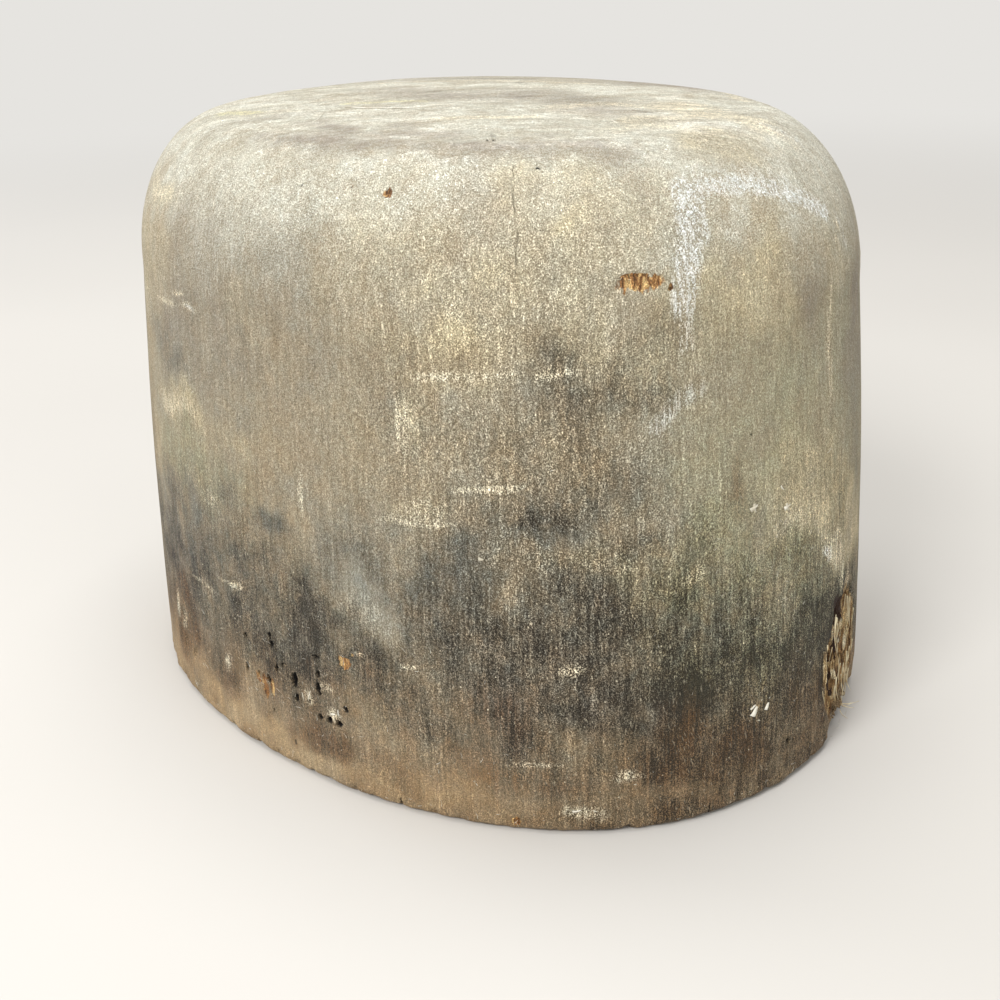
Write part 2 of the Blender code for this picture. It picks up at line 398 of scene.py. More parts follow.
tear = {
    # the torn place at the foot of the front end, in millimetres
    "across": 19.6,
    "up": 19.5,
    "halfWidth": 12.8,
    "halfHeight": 18.5,
    "depth": 1.9,
    "ridgeDepth": 0.6,
    "cuts": {
        # hollows, and below zero ribs that stand up: across, up, half-width, half-height, depth
        "leftLip": (9.2, 22.0, 0.8, 6.5, -0.7),
        "highSliver": (13.6, 28.8, 0.7, 5.0, -0.9),
        "leftCavity": (12.2, 19.4, 1.8, 5.6, 1.1),
        "midCavity": (16.8, 22.8, 2.4, 3.6, 1.1),
        "topHollow": (17.0, 32.6, 4.0, 5.4, 0.6),
        "lowCavity": (15.6, 10.4, 1.0, 3.0, 0.8),
        "lowCavityRight": (21.5, 10.4, 1.0, 2.6, 0.8),
        "midSliver": (14.6, 15.0, 0.6, 5.5, -0.5),
        "rightSliver": (19.6, 27.5, 0.6, 5.5, -0.9),
        "outerSliver": (24.8, 24.0, 0.9, 8.0, -0.8),
        "rightCavity": (22.4, 17.5, 0.8, 3.5, 0.8),
    },
    "gashes": {
        # points across and up, half-width, depth, share of dark
        "left": (((10.4, 25.4), (11.2, 23.2), (12.6, 19.0), (13.6, 14.2)), 1.3, 0.8, 1.0),
        "middle": (((16.4, 26.0), (17.4, 24.0), (18.4, 21.4)), 1.7, 0.8, 1.0),
        "top": (((14.0, 36.4), (16.8, 33.4), (20.0, 31.8)), 2.0, 0.4, 0.45),
    },
}

checks = {
    # thin cracks: points across and up, half-width, depth, darkness
    "dryingCheck": (
        ((-64.6, 147.5), (-65.4, 141), (-66.0, 133), (-65.7, 127), (-66.8, 118)), 0.13, 0.3, 0.3,
    ),
    "crossScratchOne": (((-62.8, 136.4), (-58.5, 136.8)), 0.16, 0.12, 0.25),
    "crossScratchTwo": (((-63.5, 126.0), (-57.0, 125.6)), 0.16, 0.12, 0.25),
    "crossScratchThree": (((-66.0, 117.6), (-57.0, 117.0)), 0.16, 0.12, 0.25),
    "crossScratchFour": (((-61.0, 110.0), (-52.0, 110.4)), 0.16, 0.12, 0.2),
    "crossScratchFive": (((-62.0, 103.6), (-50.0, 103.0)), 0.16, 0.12, 0.2),
    "rimScratchOne": (((20.1, 148), (15.5, 142.5), (13.9, 138.5), (15.7, 134.5)), 0.22, 0.2, 0.35),
    "rimScratchTwo": (((18.4, 147), (17.0, 143), (15.8, 138)), 0.16, 0.15, 0.25),
    "rimScratchThree": (((23.2, 143), (21.8, 140), (22.4, 137)), 0.22, 0.2, 0.4),
    "footCheckOne": (((-96.0, -1.2), (-96.2, 2.5)), 0.14, 0.5, 0.6),
    "footCheckTwo": (((-28.0, -1.2), (-27.7, 3.0)), 0.14, 0.5, 0.6),
    "backCheck": (((202.0, 143.0), (203.2, 127.0), (202.6, 108.0), (203.4, 96.0)), 0.2, 0.8, 0.8),
    "farCheck": (((61.0, 35.0), (61.4, 18.0), (60.8, -1.2)), 0.22, 0.8, 0.8),
}


def patchShare(across, up, centre, half, lean=0.0, core=0.0):
    # 1 inside the core of an oval patch and 0 outside it, with a soft edge between
    angle = math.radians(lean)
    aside = across - centre[0]
    above = up - centre[1]
    alongPatch = aside * math.cos(angle) + above * math.sin(angle)
    overPatch = above * math.cos(angle) - aside * math.sin(angle)
    return 1 - smoothStep(core, 1, np.hypot(alongPatch / half[0], overPatch / half[1]))


def lineDistance(across, up, points):
    best = np.full(across.shape, 1e3)
    for (x0, y0), (x1, y1) in zip(points, points[1:]):
        share = ((across - x0) * (x1 - x0) + (up - y0) * (y1 - y0)) / ((x1 - x0) ** 2 + (y1 - y0) ** 2)
        share = np.clip(share, 0, 1)
        best = np.minimum(best, np.hypot(across - x0 - share * (x1 - x0), up - y0 - share * (y1 - y0)))
    return best


fineness = {
    # stretches with finer faces: left, right, bottom, top and how many times the faces there are halved
    "foot": (-girth / 2 / mm, girth / 2 / mm, -2, 5.5, 1),
    "nearSide": (-197, 32, -2, 152, 1),
    "nearShoulder": (-200, 60, 152, 174, 1),
    "crumbledFoot": (-200, 34, -2, 3.6, 2),
    "tornPlace": (5, 31, 2, 38, 2),
    "scrape": (-49, -34, 113.2, 119, 3),
}
widestFineMark = 7  # a mark wider than this is smooth enough for the faces that are there
margins = {
    # how far round small wear the faces are finer too
    "hole": 1.8,
    "holeCore": 0.7,
    "mark": 0.6,
    "checkAside": 0.7,
    "checkEnds": 0.5,
}


def fineRegions():
    regions = list(fineness.values())
    for across, up, halfWide, halfHigh in tackHoles.values():
        for margin, times in ((margins["hole"], 2), (margins["holeCore"], 3)):
            regions.append((
                across - halfWide - margin, across + halfWide + margin,
                up - halfHigh - margin, up + halfHigh + margin, times,
            ))
    for across, up, halfWide, halfHigh, lean, *rest in marks.values():
        if halfWide < widestFineMark:
            reach = (halfWide if abs(lean) < 25 else max(halfWide, halfHigh)) + margins["mark"]
            regions.append((
                across - reach, across + reach,
                up - halfHigh - margins["mark"], up + halfHigh + margins["mark"], 2,
            ))
    aside, ends = margins["checkAside"], margins["checkEnds"]
    for points, *rest in checks.values():
        for (x0, y0), (x1, y1) in zip(points, points[1:]):
            regions.append((
                min(x0, x1) - aside, max(x0, x1) + aside, min(y0, y1) - ends, max(y0, y1) + ends, 3,
            ))
    return regions


def buildFlatSheet():
    # the side and crown of the block, unrolled flat and cut finer where the wear needs it
    climbRows = round((shoulderTop - climbs[0]) / block["face"])
    crownRows = round((climbs[-1] - shoulderTop) / block["crownFace"])
    columns = round(girth / block["face"])
    sheet = bmesh.new()
    bmesh.ops.create_grid(sheet, x_segments=columns, y_segments=climbRows + crownRows, size=1)
    shoulderShare = climbRows / (climbRows + crownRows)
    for vert in sheet.verts:
        vert.co.x *= girth / 2
        climb = (vert.co.y + 1) / 2
        vert.co.y = np.interp(climb, (0, shoulderShare, 1), (climbs[0], shoulderTop, climbs[-1]))
    regions = fineRegions()
    for halving in (1, 2, 3):
        places = np.array([vert.co for vert in sheet.verts]) / mm
        inside = np.zeros(len(places), bool)
        for left, right, bottom, top, times in regions:
            if times >= halving:
                inside |= ((places[:, 0] > left) & (places[:, 0] < right)
                           & (places[:, 1] > bottom) & (places[:, 1] < top))
        sheet.verts.index_update()
        edges = [edge for edge in sheet.edges if all(inside[vert.index] for vert in edge.verts)]
        bmesh.ops.subdivide_edges(sheet, edges=edges, cuts=1, use_grid_fill=True)
    return sheet


def closeBase(sheet, upLayer):
    # the flat underside, with the plate's recess, its collar's room and the spindle's bore
    def extrudeTo(edges, moved):
        grown = bmesh.ops.extrude_edge_only(sheet, edges=edges)["geom"]
        for vert in (item for item in grown if isinstance(item, bmesh.types.BMVert)):
            moved(vert)
            vert[upLayer] = offSide
        return [item for item in grown if isinstance(item, bmesh.types.BMEdge)]

    def ontoBase(vert):
        vert.co = (vert.co.x * block["flatBase"], vert.co.y * block["flatBase"], 0)

    rim = extrudeTo([edge for edge in sheet.edges if edge.is_boundary], ontoBase)
    recess = plateHigh.x + block["fitGap"]
    collar = block["collarRadius"] + block["fitGap"]
    ring = bmesh.ops.create_circle(sheet, segments=block["ringSegments"], radius=recess)["verts"]
    for vert in ring:
        vert[upLayer] = offSide
    loop = list(dict.fromkeys(edge for vert in ring for edge in vert.link_edges))
    bmesh.ops.triangle_fill(sheet, edges=rim + loop, use_beauty=True, use_dissolve=False, normal=(0, 0, -1))
    recessTop = plateLow.z + block["plateThickness"] + block["fitGap"]
    collarTop = plateHigh.z + block["fitGap"]
    for radius, height in (
        (recess, recessTop), (collar, recessTop), (collar, collarTop),
        (block["boreRadius"], collarTop), (block["boreRadius"], block["boreDepth"]),
    ):
        def ontoRing(vert, radius=radius, height=height):
            spot = Vector((vert.co.x, vert.co.y, 0)).normalized() * radius
            vert.co = (spot.x, spot.y, height)
        loop = extrudeTo(loop, ontoRing)
    bmesh.ops.contextual_create(sheet, geom=loop)


wear = {
    # in millimetres: broad and narrow waves of a face worked by hand, and a tack hole with its raised lip
    "broadWave": 0.22,
    "narrowWave": 0.05,
    "holeDepth": 2.2,
    "holeLip": 0.15,
    # the foot, worn below this height: how much it wavers and crumbles, and its pits
    "footHeight": 6.5,
    "footWave": 0.25,
    "footCrumble": 0.25,
    "pitDepth": 0.45,
    "pitHeight": 3.5,
    "pitDarkness": 0.3,
}


def tornRelief(across, up, points, jag, crumbs):
    # the torn place: a ragged bowl, ridged along the fibres, with hollows, slivers and gashes in it
    rag = noiseAt(points, (2.2, 2.2, 16), 3)
    ridges = np.abs(noiseAt(points, (1.1, 1.1, 22), 3))
    reach = np.hypot((across - tear["across"]) / tear["halfWidth"], (up - tear["up"]) / tear["halfHeight"])
    torn = 1 - smoothStep(0.72, 1.0, reach + 0.28 * rag)
    bowl = 0.5 + 0.5 * (1 - np.clip(reach, 0, 1))
    relief = torn * (tear["depth"] * bowl + tear["ridgeDepth"] * (0.4 - 2.4 * ridges))
    hollow = np.zeros(len(across))
    sliver = np.zeros(len(across))
    for centreX, centreY, halfWide, halfHigh, depth in tear["cuts"].values():
        share = patchShare(across + 1.8 * rag + 0.6 * jag, up + 1.2 * crumbs, (centreX, centreY),
                           (halfWide, halfHigh), 0, 0.4)
        relief += depth * share
        if depth > 0:
            hollow = np.maximum(hollow, share)
        else:
            sliver = np.maximum(sliver, share)
    for line, halfWide, depth, darkness in tear["gashes"].values():
        distance = lineDistance(across + 0.6 * rag + 0.5 * jag, up + crumbs, line) / halfWide
        share = 1 - smoothStep(0.5, 1.5, distance)
        relief += depth * share
        hollow = np.maximum(hollow, darkness * share)
    torn = np.maximum(torn, sliver)
    hollow = np.maximum(hollow, torn * smoothStep(0.1, 0.35, 0.3 - ridges) * 0.2)
    return relief, {"torn": torn, "hollow": hollow, "sliver": sliver}


def footRelief(up, points):
    # the worn foot: a wavering edge with pits where the end grain has crumbled
    low = 1 - smoothStep(1.0, wear["footHeight"], up)
    crumble = noiseAt(points, (3.2, 3.2, 5), 3)
    relief = low * (wear["footWave"] * noiseAt(points, (16, 16, 16), 2) + wear["footCrumble"] * crumble)
    pits = smoothStep(0.32, 0.5, crumble) * (1 - smoothStep(0.5, wear["pitHeight"], up))
    return relief + wear["pitDepth"] * pits, pits


def woodRelief(across, up, points):
    # how far the surface lies under the clean shape, in millimetres, with the paint masks it brings
    fresh = np.zeros(len(across))
    dark = np.zeros(len(across))
    jag = noiseAt(points, (0.8, 0.8, 5), 2)
    crumbs = noiseAt(points, (0.9, 0.9, 1.1), 2)
    sway = noiseAt(points, (7, 7, 9), 2)
    relief = (wear["broadWave"] * noiseAt(points, (55, 55, 70), 2)
              + wear["narrowWave"] * noiseAt(points, (11, 11, 16), 2))

    for centreX, centreY, halfWide, halfHigh in tackHoles.values():
        reach = np.hypot((across - centreX + 0.2 * jag) / halfWide, (up - centreY) / halfHigh)
        reach += 0.35 * crumbs
        core = 1 - smoothStep(0.7, 1.25, reach)
        relief += wear["holeDepth"] * core
        relief -= wear["holeLip"] * np.exp(-((reach - 1.6) / 0.4) ** 2) * (up < centreY)
        dark = np.maximum(dark, 1 - smoothStep(0.9, 1.3, reach))

    for centreX, centreY, halfWide, halfHigh, lean, depth, opened, darkness in marks.values():
        ragged = 0.4 * min(halfWide, halfHigh, 1.5)
        share = patchShare(across + ragged * crumbs, up + ragged * (jag * 1.5 + crumbs), (centreX, centreY),
                           (halfWide, halfHigh), lean, 0.45)
        relief += depth * share * (1 + 0.6 * jag)
        fresh = np.maximum(fresh, opened * share)
        dark = np.maximum(dark, darkness * share * (0.5 + 1.0 * (jag > 0)))

    broken = smoothStep(-0.4, 0.1, noiseAt(points, (4, 4, 9), 2))
    for line, halfWide, depth, darkness in checks.values():
        distance = lineDistance(across + 0.25 * jag + 0.6 * sway, up + 0.2 * crumbs, line) / halfWide
        relief += depth * (1 - smoothStep(0.4, 1.6, distance)) * broken
        dark = np.maximum(dark, darkness * (1 - smoothStep(0.6, 2.0, distance)) * broken)

    tornDepth, layers = tornRelief(across, up, points, jag, crumbs)
    footDepth, pits = footRelief(up, points)
    relief += tornDepth + footDepth
    dark = np.maximum(dark, wear["pitDarkness"] * pits)
    return relief, {"fresh": fresh, **layers, "dark": dark}


def buildCrownBlock(material):
    sheet = buildFlatSheet()
    acrossLayer = sheet.verts.layers.float.new("across")
    upLayer = sheet.verts.layers.float.new("up")
    flat = np.array([vert.co for vert in sheet.verts], float)
    for vert, (across, climb, unused), place in zip(sheet.verts, flat, rolledUp(flat[:, 0], flat[:, 1])):
        vert[acrossLayer] = across / mm
        vert[upLayer] = climb / mm
        vert.co = place
    bmesh.ops.remove_doubles(sheet, verts=sheet.verts, dist=1e-6)
    closeBase(sheet, upLayer)
    bmesh.ops.recalc_face_normals(sheet, faces=sheet.faces)
    piece = addPiece("crown_block", sheet, material, ["block_body"])
    mesh = piece.data
    count = len(mesh.vertices)
    places, normals = np.zeros(count * 3), np.zeros(count * 3)
    mesh.vertices.foreach_get("co", places)
    mesh.vertices.foreach_get("normal", normals)
    places, normals = places.reshape(-1, 3), normals.reshape(-1, 3)
    across, up = np.zeros(count), np.zeros(count)
    mesh.attributes["across"].data.foreach_get("value", across)
    mesh.attributes["up"].data.foreach_get("value", up)
    skin = up > offSide / 2
    relief, layers = woodRelief(across, up, places)
    layers = {name: values * skin for name, values in layers.items()}
    layers.update(paintLayers(across, up, places))
    moved = places - normals * (relief * skin)[:, None] * mm
    moved[:, 2] = np.clip(moved[:, 2], 0, blockHigh.z)
    mesh.vertices.foreach_set("co", moved.ravel())
    for name, values in layers.items():
        mesh.attributes.new(name, "FLOAT", "POINT").data.foreach_set("value", values)
    for name in ("across", "up"):
        mesh.attributes.remove(mesh.attributes[name])
    mesh.update()
    mesh.set_sharp_from_angle(angle=math.radians(50))
    triangles = sum(len(face.vertices) - 2 for face in mesh.polygons)
    print("Crown block:", count, "points,", triangles, "triangles")


# Wooden block: what years of use have left on its surface, with painted light and shade in some of its
# layers

heightTones = {
    # how much of each layer lies at each height of the side: heights, then amounts
    # grime, with painted shade that darkens the side towards the base
    "grimeAndShade": (
        (0, 4, 8, 16, 26, 36, 46, 56, 66, 76, 90, 126),
        (0.25, 0.08, 0.2, 0.46, 0.62, 0.64, 0.57, 0.44, 0.25, 0.12, 0.07, 0),
    ),
    "earth": ((0, 3, 9, 15, 24, 34), (0.35, 0.12, 0.3, 0.45, 0.28, 0.05)),
    "tan": ((0, 4, 8, 14, 22, 32), (0.9, 0.9, 0.8, 0.6, 0.3, 0.0)),
    # bleached wood, with painted light from above that brightens the shoulder and crown
    "bleachedAndLit": ((104, 120, 134, 150, 200), (0.05, 0.4, 0.8, 0.92, 1.0)),
}

patches = {
    # across, up, half-width, half-height, lean in degrees, strength
    "olive": {
        "rightField": (-6, 70, 40, 64, 0, 0.7),
        "leftLow": (-158, 66, 30, 11, 0, 0.7),
        "underPale": (-34, 60, 20, 12, 0, 0.6),
        "farField": (60, 80, 36, 40, 0, 0.7),
        "backField": (200, 84, 40, 30, 0, 0.5),
        "lowRight": (-14, 44, 34, 26, 0, 0.5),
    },
    "mauve": {
        "leftField": (-160, 101, 32, 20, 0, 0.5),
        "leftMiddle": (-124, 96, 16, 28, 10, 0.25),
        "leftLow": (-172, 42, 22, 16, 0, 0.6),
        "frontShade": (3, 108, 7, 14, 0, 0.5),
        "frontEdge": (26, 96, 9, 26, 0, 0.6),
        "farField": (110, 104, 40, 18, 0, 0.6),
        "backField": (240, 96, 44, 20, 0, 0.7),
        "farBand": (120, 148, 60, 6, 0, 0.7),
        "leftUpper": (-152, 118, 18, 8, 0, 0.2),
        "leftCorner": (-176, 150, 9, 9, 0, 0.3),
        "shoulderShade": (-62, 146, 26, 7, 0, 0.65),
        "shoulderBand": (-138, 154, 18, 4, 0, 0.6),
        "lowCentre": (-70, 34, 26, 14, 0, 0.5),
        "shoulderFade": (-100, 153, 20, 8, 0, 0.7),
        "middleShoulder": (-42, 145, 12, 6, 0, 0.6),
        "leftShoulder": (-126, 148, 14, 9, 0, 0.6),
        "upperShade": (-74, 130, 12, 12, 0, 0.35),
    },
    "beige": {
        # upperGlow and underGlow: pale beige wood with painted light from above on the upper side
        "upperGlow": (-78, 122, 34, 17, 0, 0.42),
        "underGlow": (-80, 106, 12, 8, 0, 0.35),
        "lineGlow": (-80, 104, 24, 6, 0, 0.4),
        "streakGlow": (-89, 88, 4, 12, 0, 0.4),
        "pinkGlow": (-88, 72, 9, 5, 0, 0.35),
        "leftBand": (-160, 78, 26, 5.5, 0, 0.85),
        "warmLeft": (-181, 125, 16, 4, 0, 0.5),
        "midPatch": (-54, 62.5, 13, 3.5, 0, 0.5),
        "frontPatch": (2, 68, 17, 15, -6, 0.95),
        "frontField": (18, 55, 14, 20, 0, 0.95),
        "rightUpper": (-12, 110, 26, 14, 0, 0.75),
        "frontBand": (9.5, 98, 2, 24, 0, 0.4),
        "tanLow": (-98, 19, 16, 7, 0, 0.55),
        "footLeft": (-140, 5.5, 50, 5, 0, 0.7),
        "footMiddle": (-90, 5, 20, 3.5, 0, 0.45),
        "lowGlow": (-56, 16, 18, 3, 0, 0.3),
        "chipGlow": (-55, 5.5, 9, 3.5, 0, 0.5),
        "farGlow": (110, 120, 40, 14, 0, 0.4),
        "farBandGlow": (70, 82, 26, 6, 4, 0.5),
        "backGlow": (220, 122, 40, 12, 0, 0.4),
        "backBandGlow": (160, 88, 32, 7, -5, 0.5),
        "tearLip": (9.5, 22, 4, 8, 0, 0.6),
        "leftHigh": (-178, 108, 20, 14, 0, 0.6),
        "goldenShoulder": (-50, 130, 22, 12, 0, 0.4),
        "goldenUnder": (-44, 108, 14, 14, 0, 0.4),
        "middleGlow": (-135, 105, 8, 8, 0, 0.5),
        "rimGlow": (-8, 141, 16, 7, 0, 0.6),
        "frontEdgeGlow": (27, 45, 7, 10, 0, 0.8),
    },
    "bleachedAndLit": {
        # a painted highlight where light from above falls on the turned-up shoulder
        "leftShoulder": (-112, 130, 26, 11, 0, 1.0),
    },
    "bluish": {
        "paleSmear": (-102, 46, 14, 7, -8, 0.4),
        "smearEnd": (-90, 52, 7, 4, 25, 0.5),
        "middleBlue": (-80, 59, 10, 8, 20, 0.8),
        "leftDark": (-115, 40, 9, 9, 0, 0.2),
        "leftSmudge": (-127, 62, 8, 4, 0, 0.8),
        "leftBottom": (-158, 46, 26, 10, 0, 0.5),
        "frontBlue": (-2, 43, 26, 8, 0, 0.25),
        "rightBlue": (-30, 47, 12, 8, 0, 0.6),
        "farBlue": (100, 52, 28, 10, 0, 0.6),
        "backBlue": (185, 60, 24, 9, 0, 0.6),
        "blots": (-60, 69, 13, 8, 0, 0.6),
        "lowBlue": (-80, 53, 32, 13, 0, 0.5),
        "rightLowBlue": (-36, 27, 9, 9, 0, 0.5),
    },
    "grimeAndShade": {
        "tackShade": (-128, 28, 22, 12, 0, 0.45),
        "blackBlot": (-115, 40, 11, 10, 0, 0.42),
        "blotTail": (-122, 44, 9, 6, -25, 0.25),
        "leftBand": (-163, 42, 24, 12, 0, 0.2),
        "leftUpper": (-173, 91, 11, 9, 20, 0.25),
        "leftWall": (-135, 98, 34, 18, 0, 0.08),
        "leftSmudge": (-127.5, 62, 6, 3.5, 0, 0.45),
        "centreBand": (-62, 42, 36, 17, 0, 0.48),
        "centreBlue": (-81, 59, 12, 8, 25, 0.28),
        "centreField": (-62, 76, 28, 20, 0, 0.3),
        "blotShade": (-61, 72, 11, 4.5, 0, 0.22),
        "blotLeft": (-65.2, 71.6, 3.2, 2.2, 0, 0.6),
        "blotRight": (-57.6, 71.6, 2.8, 4.0, 8, 0.7),
        "blotEdge": (-45, 66, 6, 2.6, 0, 0.4),
        "centreDrip": (-52, 86, 9, 17, 4, 0.36),
        "dripTop": (-47, 98, 14, 6, -8, 0.45),
        "underScrape": (-40, 106, 10, 6, 0, 0.22),
        "rightShade": (-28, 35, 28, 17, 0, 0.75),
        "frontDark": (-6, 28, 28, 15, 0, 1.3),
        "frontDarkTop": (0, 39, 20, 5, -4, 0.2),
        "rightFoot": (-12, 15, 38, 10, 0, 1.0),
        "footRight": (-20, 3, 60, 8, 0, 1.0),
        "footMiddle": (-54, 14, 20, 8, 0, 0.5),
        "frontShade": (3, 108, 6, 13, 0, 0.08),
        "greenSpot": (-29, 66, 1.4, 2.2, 0, 0.35),
        "farBand": (84, 38, 44, 14, 3, 0.35),
        "backBlot": (176, 50, 26, 13, -10, 0.4),
        "backLow": (236, 30, 30, 12, 0, 0.3),
        "backDrip": (214, 90, 7, 16, 3, 0.35),
        "centreLow": (-52, 29, 28, 14, 0, 0.85),
        # painted shade along the left edge, where the side turns away from the light
        "leftEdgeShade": (-192, 36, 6, 40, 0, 0.1),
        "centreUnder": (-40, 56, 20, 15, 0, 0.5),
        "centreEdge": (-57, 96, 10, 9, 0, 0.3),
        "streakShade": (-95, 92, 14, 14, 0, 0.15),
        "leftMiddle": (-144, 32, 20, 14, 0, 0.5),
        "leftLow": (-174, 25, 10, 10, 0, 0.2),
        "smearClearing": (-105, 46, 13, 8, -8, -1.5),
        "frontClearing": (24, 51, 12, 13, 0, -1.2),
        "brownStreak": (-21, 75, 2.4, 8, 0, 0.3),
        "lowClearing": (-98, 20, 16, 8, 0, -0.5),
        "centreClearing": (-72, 28, 7, 12, 0, -0.5),
        "redClearing": (-168, 34, 9, 7, 0, -0.5),
        "tackDark": (-126, 24, 14, 7, 0, 0.35),
        "rightMiddle": (-18, 50, 16, 13, 0, 0.25),
        "footClearing": (-130, 4, 30, 6, 0, -0.7),
        "smearShade": (-94, 44, 8, 8, 0, 0.4),
        "cornerDark": (-176, 27, 7, 9, 0, 0.7),
        "leftWallClearing": (-184, 62, 7, 26, 0, -0.5),
        "dripClearing": (-44, 84, 5, 8, 0, -0.4),
        "centreEdgeLow": (-53, 47, 12, 12, 0, 0.35),
        "tearTop": (14, 40, 9, 6, 0, 0.8),
        "frontPatchClearing": (0, 61, 12, 6, 0, -0.6),
        "leftFootDark": (-160, 15, 14, 6, 0, 0.4),
        "underTacks": (-116, 14, 8, 5, 0, 0.35),
        "redLineShade": (-85, 35, 7, 5, 0, 0.4),
        "blueClearing": (-75, 35, 5, 6, 0, -0.4),
        "footUnderTacks": (-110, 8, 16, 7, 0, 0.5),
        "leftBandShade": (-165, 87, 8, 4, 0, 0.25),
        "frontMiddleDark": (-12, 25, 12, 9, 0, 0.4),
        "frontFootDark": (8, 8, 14, 8, 0, 0.5),
        "rightHollow": (-35, 51, 7, 6, 0, -0.5),
        "blotSide": (-45, 66, 7, 5, 0, 0.35),
    },
    "earth": {
        "redFoot": (-68, 13, 20, 3.2, 0, 0.7),
        "tackBrown": (-134, 17, 6, 5, 0, 0.5),
        "leftBrown": (-175, 22, 10, 11, 0, 0.6),
        "redStreak": (-20.5, 75, 2.4, 8, 0, 0.9),
        "redStreakTail": (-17, 66, 5, 6, 0, 0.3),
        "underTacks": (-113, 11, 17, 4.5, 0, 0.85),
        "footSpot": (-126, 7, 1.5, 1.5, 0, 0.8),
        "frontFoot": (2, 12, 22, 5, 0, 0.1),
        "rustFoot": (-26, 4.6, 5, 2, 0, 0.7),
        "redBase": (-69, 3, 2.6, 2, 0, 0.9),
        "scrapeShade": (-40, 110, 7, 3.5, 0, 0.25),
        "backFoot": (200, 9, 60, 4, 0, 0.4),
        "centreRed": (-72, 33, 18, 9, 0, 0.3),
    },
    "pale": {
        "leftBand": (-168, 77.5, 16, 3.6, 0, 0.45),
        "leftBandCore": (-175, 77, 6, 3, 0, 0.4),
        "flakeLine": (-171, 101.2, 9, 0.9, 0, 0.9),
        "flakeWhite": (-157.5, 101.7, 4.2, 1.0, 0, 1.0),
        "flakeBits": (-163, 104, 5, 0.9, 8, 0.7),
        "warmLeft": (-181, 125, 16, 3, 0, 0.6),
        "whiteTouch": (-79.8, 112, 1.6, 2, 0, 0.7),
        "lineA": (-83, 98.6, 10, 0.9, 1, 0.95),
        "lineAFaint": (-70, 99.4, 8, 0.7, 1, 0.6),
        "lineB": (-60.8, 99.6, 3.6, 1.3, 6, 1.0),
        "lineBTip": (-57.4, 100.3, 2.6, 0.6, 14, 1.0),
        "lineC": (-71, 77.4, 6.5, 1.1, 4, 1.0),
        "lineCTail": (-79, 76.7, 3.6, 0.7, 4, 0.8),
        "lineD": (-90, 68.6, 12, 0.9, 0, 0.7),
        "streakOne": (-92.3, 88, 0.7, 12, 1, 0.8),
        "streakTwo": (-90.6, 86, 0.6, 11, 0, 0.6),
        "streakThree": (-88, 88, 2.4, 12, 0, 0.15),
        "streakPink": (-89, 72, 8, 4.5, 0, 0.35),
        "oliveStreak": (-119, 70, 1.2, 6, 0, 0.75),
        "midPatchOne": (-63, 63, 4.5, 7, 0, 0.2),
        "midPatchTwo": (-50, 61.2, 9, 2.0, 0, 0.25),
        "midPatchThree": (-32, 57.2, 4.2, 1.4, 12, 0.4),
        "frontPatch": (-5, 62, 13, 4, -8, 0.3),
        "frontSmear": (12, 52, 8, 4, -42, 0.9),
        "frontStrokeOne": (16, 43, 1.6, 7, 0, 0.7),
        "frontStrokeTwo": (20.5, 40, 1.4, 8, 0, 0.6),
        "frontBand": (9.5, 96, 1.6, 20, 0, 0.5),
        "edgeHookOne": (17, 119, 0.9, 3.4, 20, 0.9),
        "edgeHookTwo": (15, 116, 0.7, 2.6, 15, 0.8),
        "edgeHookThree": (19, 110, 1.2, 1.2, 0, 0.8),
        "yellowSpots": (-58, 39.2, 3.2, 1.6, 10, 0.6),
        "underLine": (-93, 36, 2.6, 0.8, 3, 0.95),
        "underLineLeft": (-104.5, 36, 1.8, 0.7, 0, 0.7),
        "yellowFlake": (-144, 41, 3.4, 1.3, 0, 0.95),
        "yellowFlakeTail": (-150, 41, 4, 0.6, 0, 0.5),
        "leftScratch": (-157, 36, 10, 0.9, 1, 0.45),
        "leftScratchTwo": (-156, 34, 8, 0.6, 1, 0.35),
        "lowArc": (-178, 22, 1.8, 5, -12, 0.7),
        "lowArcTwo": (-175, 19, 1.4, 4, -25, 0.6),
        "lowLine": (-65, 17, 8.5, 0.8, 0, 0.55),
        "lowLineRight": (-46, 14, 5.5, 1.8, 0, 0.55),
        "footChips": (-55, 5.6, 7, 2.4, 0, 0.5),
        "tackWhite": (-114, 25, 3, 1.4, 0, 0.6),
        "tackPale": (-120, 20.5, 1.8, 2.4, 0, 0.8),
        "tackPaleRight": (-112.5, 19.5, 2.2, 1.8, 0, 0.7),
        "tackPaleLeft": (-150, 19, 2, 3.4, 0, 0.5),
        "greySpeckle": (-153, 59, 9, 3, 0, 0.35),
        "farPatch": (70, 82, 26, 6, 4, 0.35),
        "farLine": (86, 99, 14, 0.9, 1, 0.6),
        "backPatch": (160, 88, 30, 7, -5, 0.28),
        "backLine": (225, 74, 14, 1.0, 3, 0.6),
        "backStreak": (190, 70, 3, 20, 0, 0.3),
        "oliveArc": (-32, 59, 5.5, 1.3, 15, 0.28),
        "crownEdge": (-4, 155, 38, 7, 0, 0.6),
        "crownLip": (-10, 144, 14, 7, 0, 0.45),
        "leftCorner": (-192, 150, 14, 12, 0, 0.35),
        "smearGlow": (-105, 45, 12, 6, -16, 0.25),
        "rimRight": (20, 140, 12, 12, 0, 0.3),
        # painted highlight where the fuzz along the left edge catches the light
        "leftEdgeGlow": (-188, 100, 8, 16, 0, 0.3),
    },
    "raised": {
        # where the fibres stand up most, so that the wood looks roughest
        "middle": (-66, 78, 42, 70, 0, 1.0),
        "right": (-6, 46, 34, 40, 0, 0.95),
        "far": (130, 60, 60, 50, 0, 0.7),
    },
    "white": {
        # painted highlight where the fuzz along the left edge catches the light, as rimLight is along the
        # crown's rim
        "leftRimSheen": (-192, 62, 8, 60, 0, 0.14),
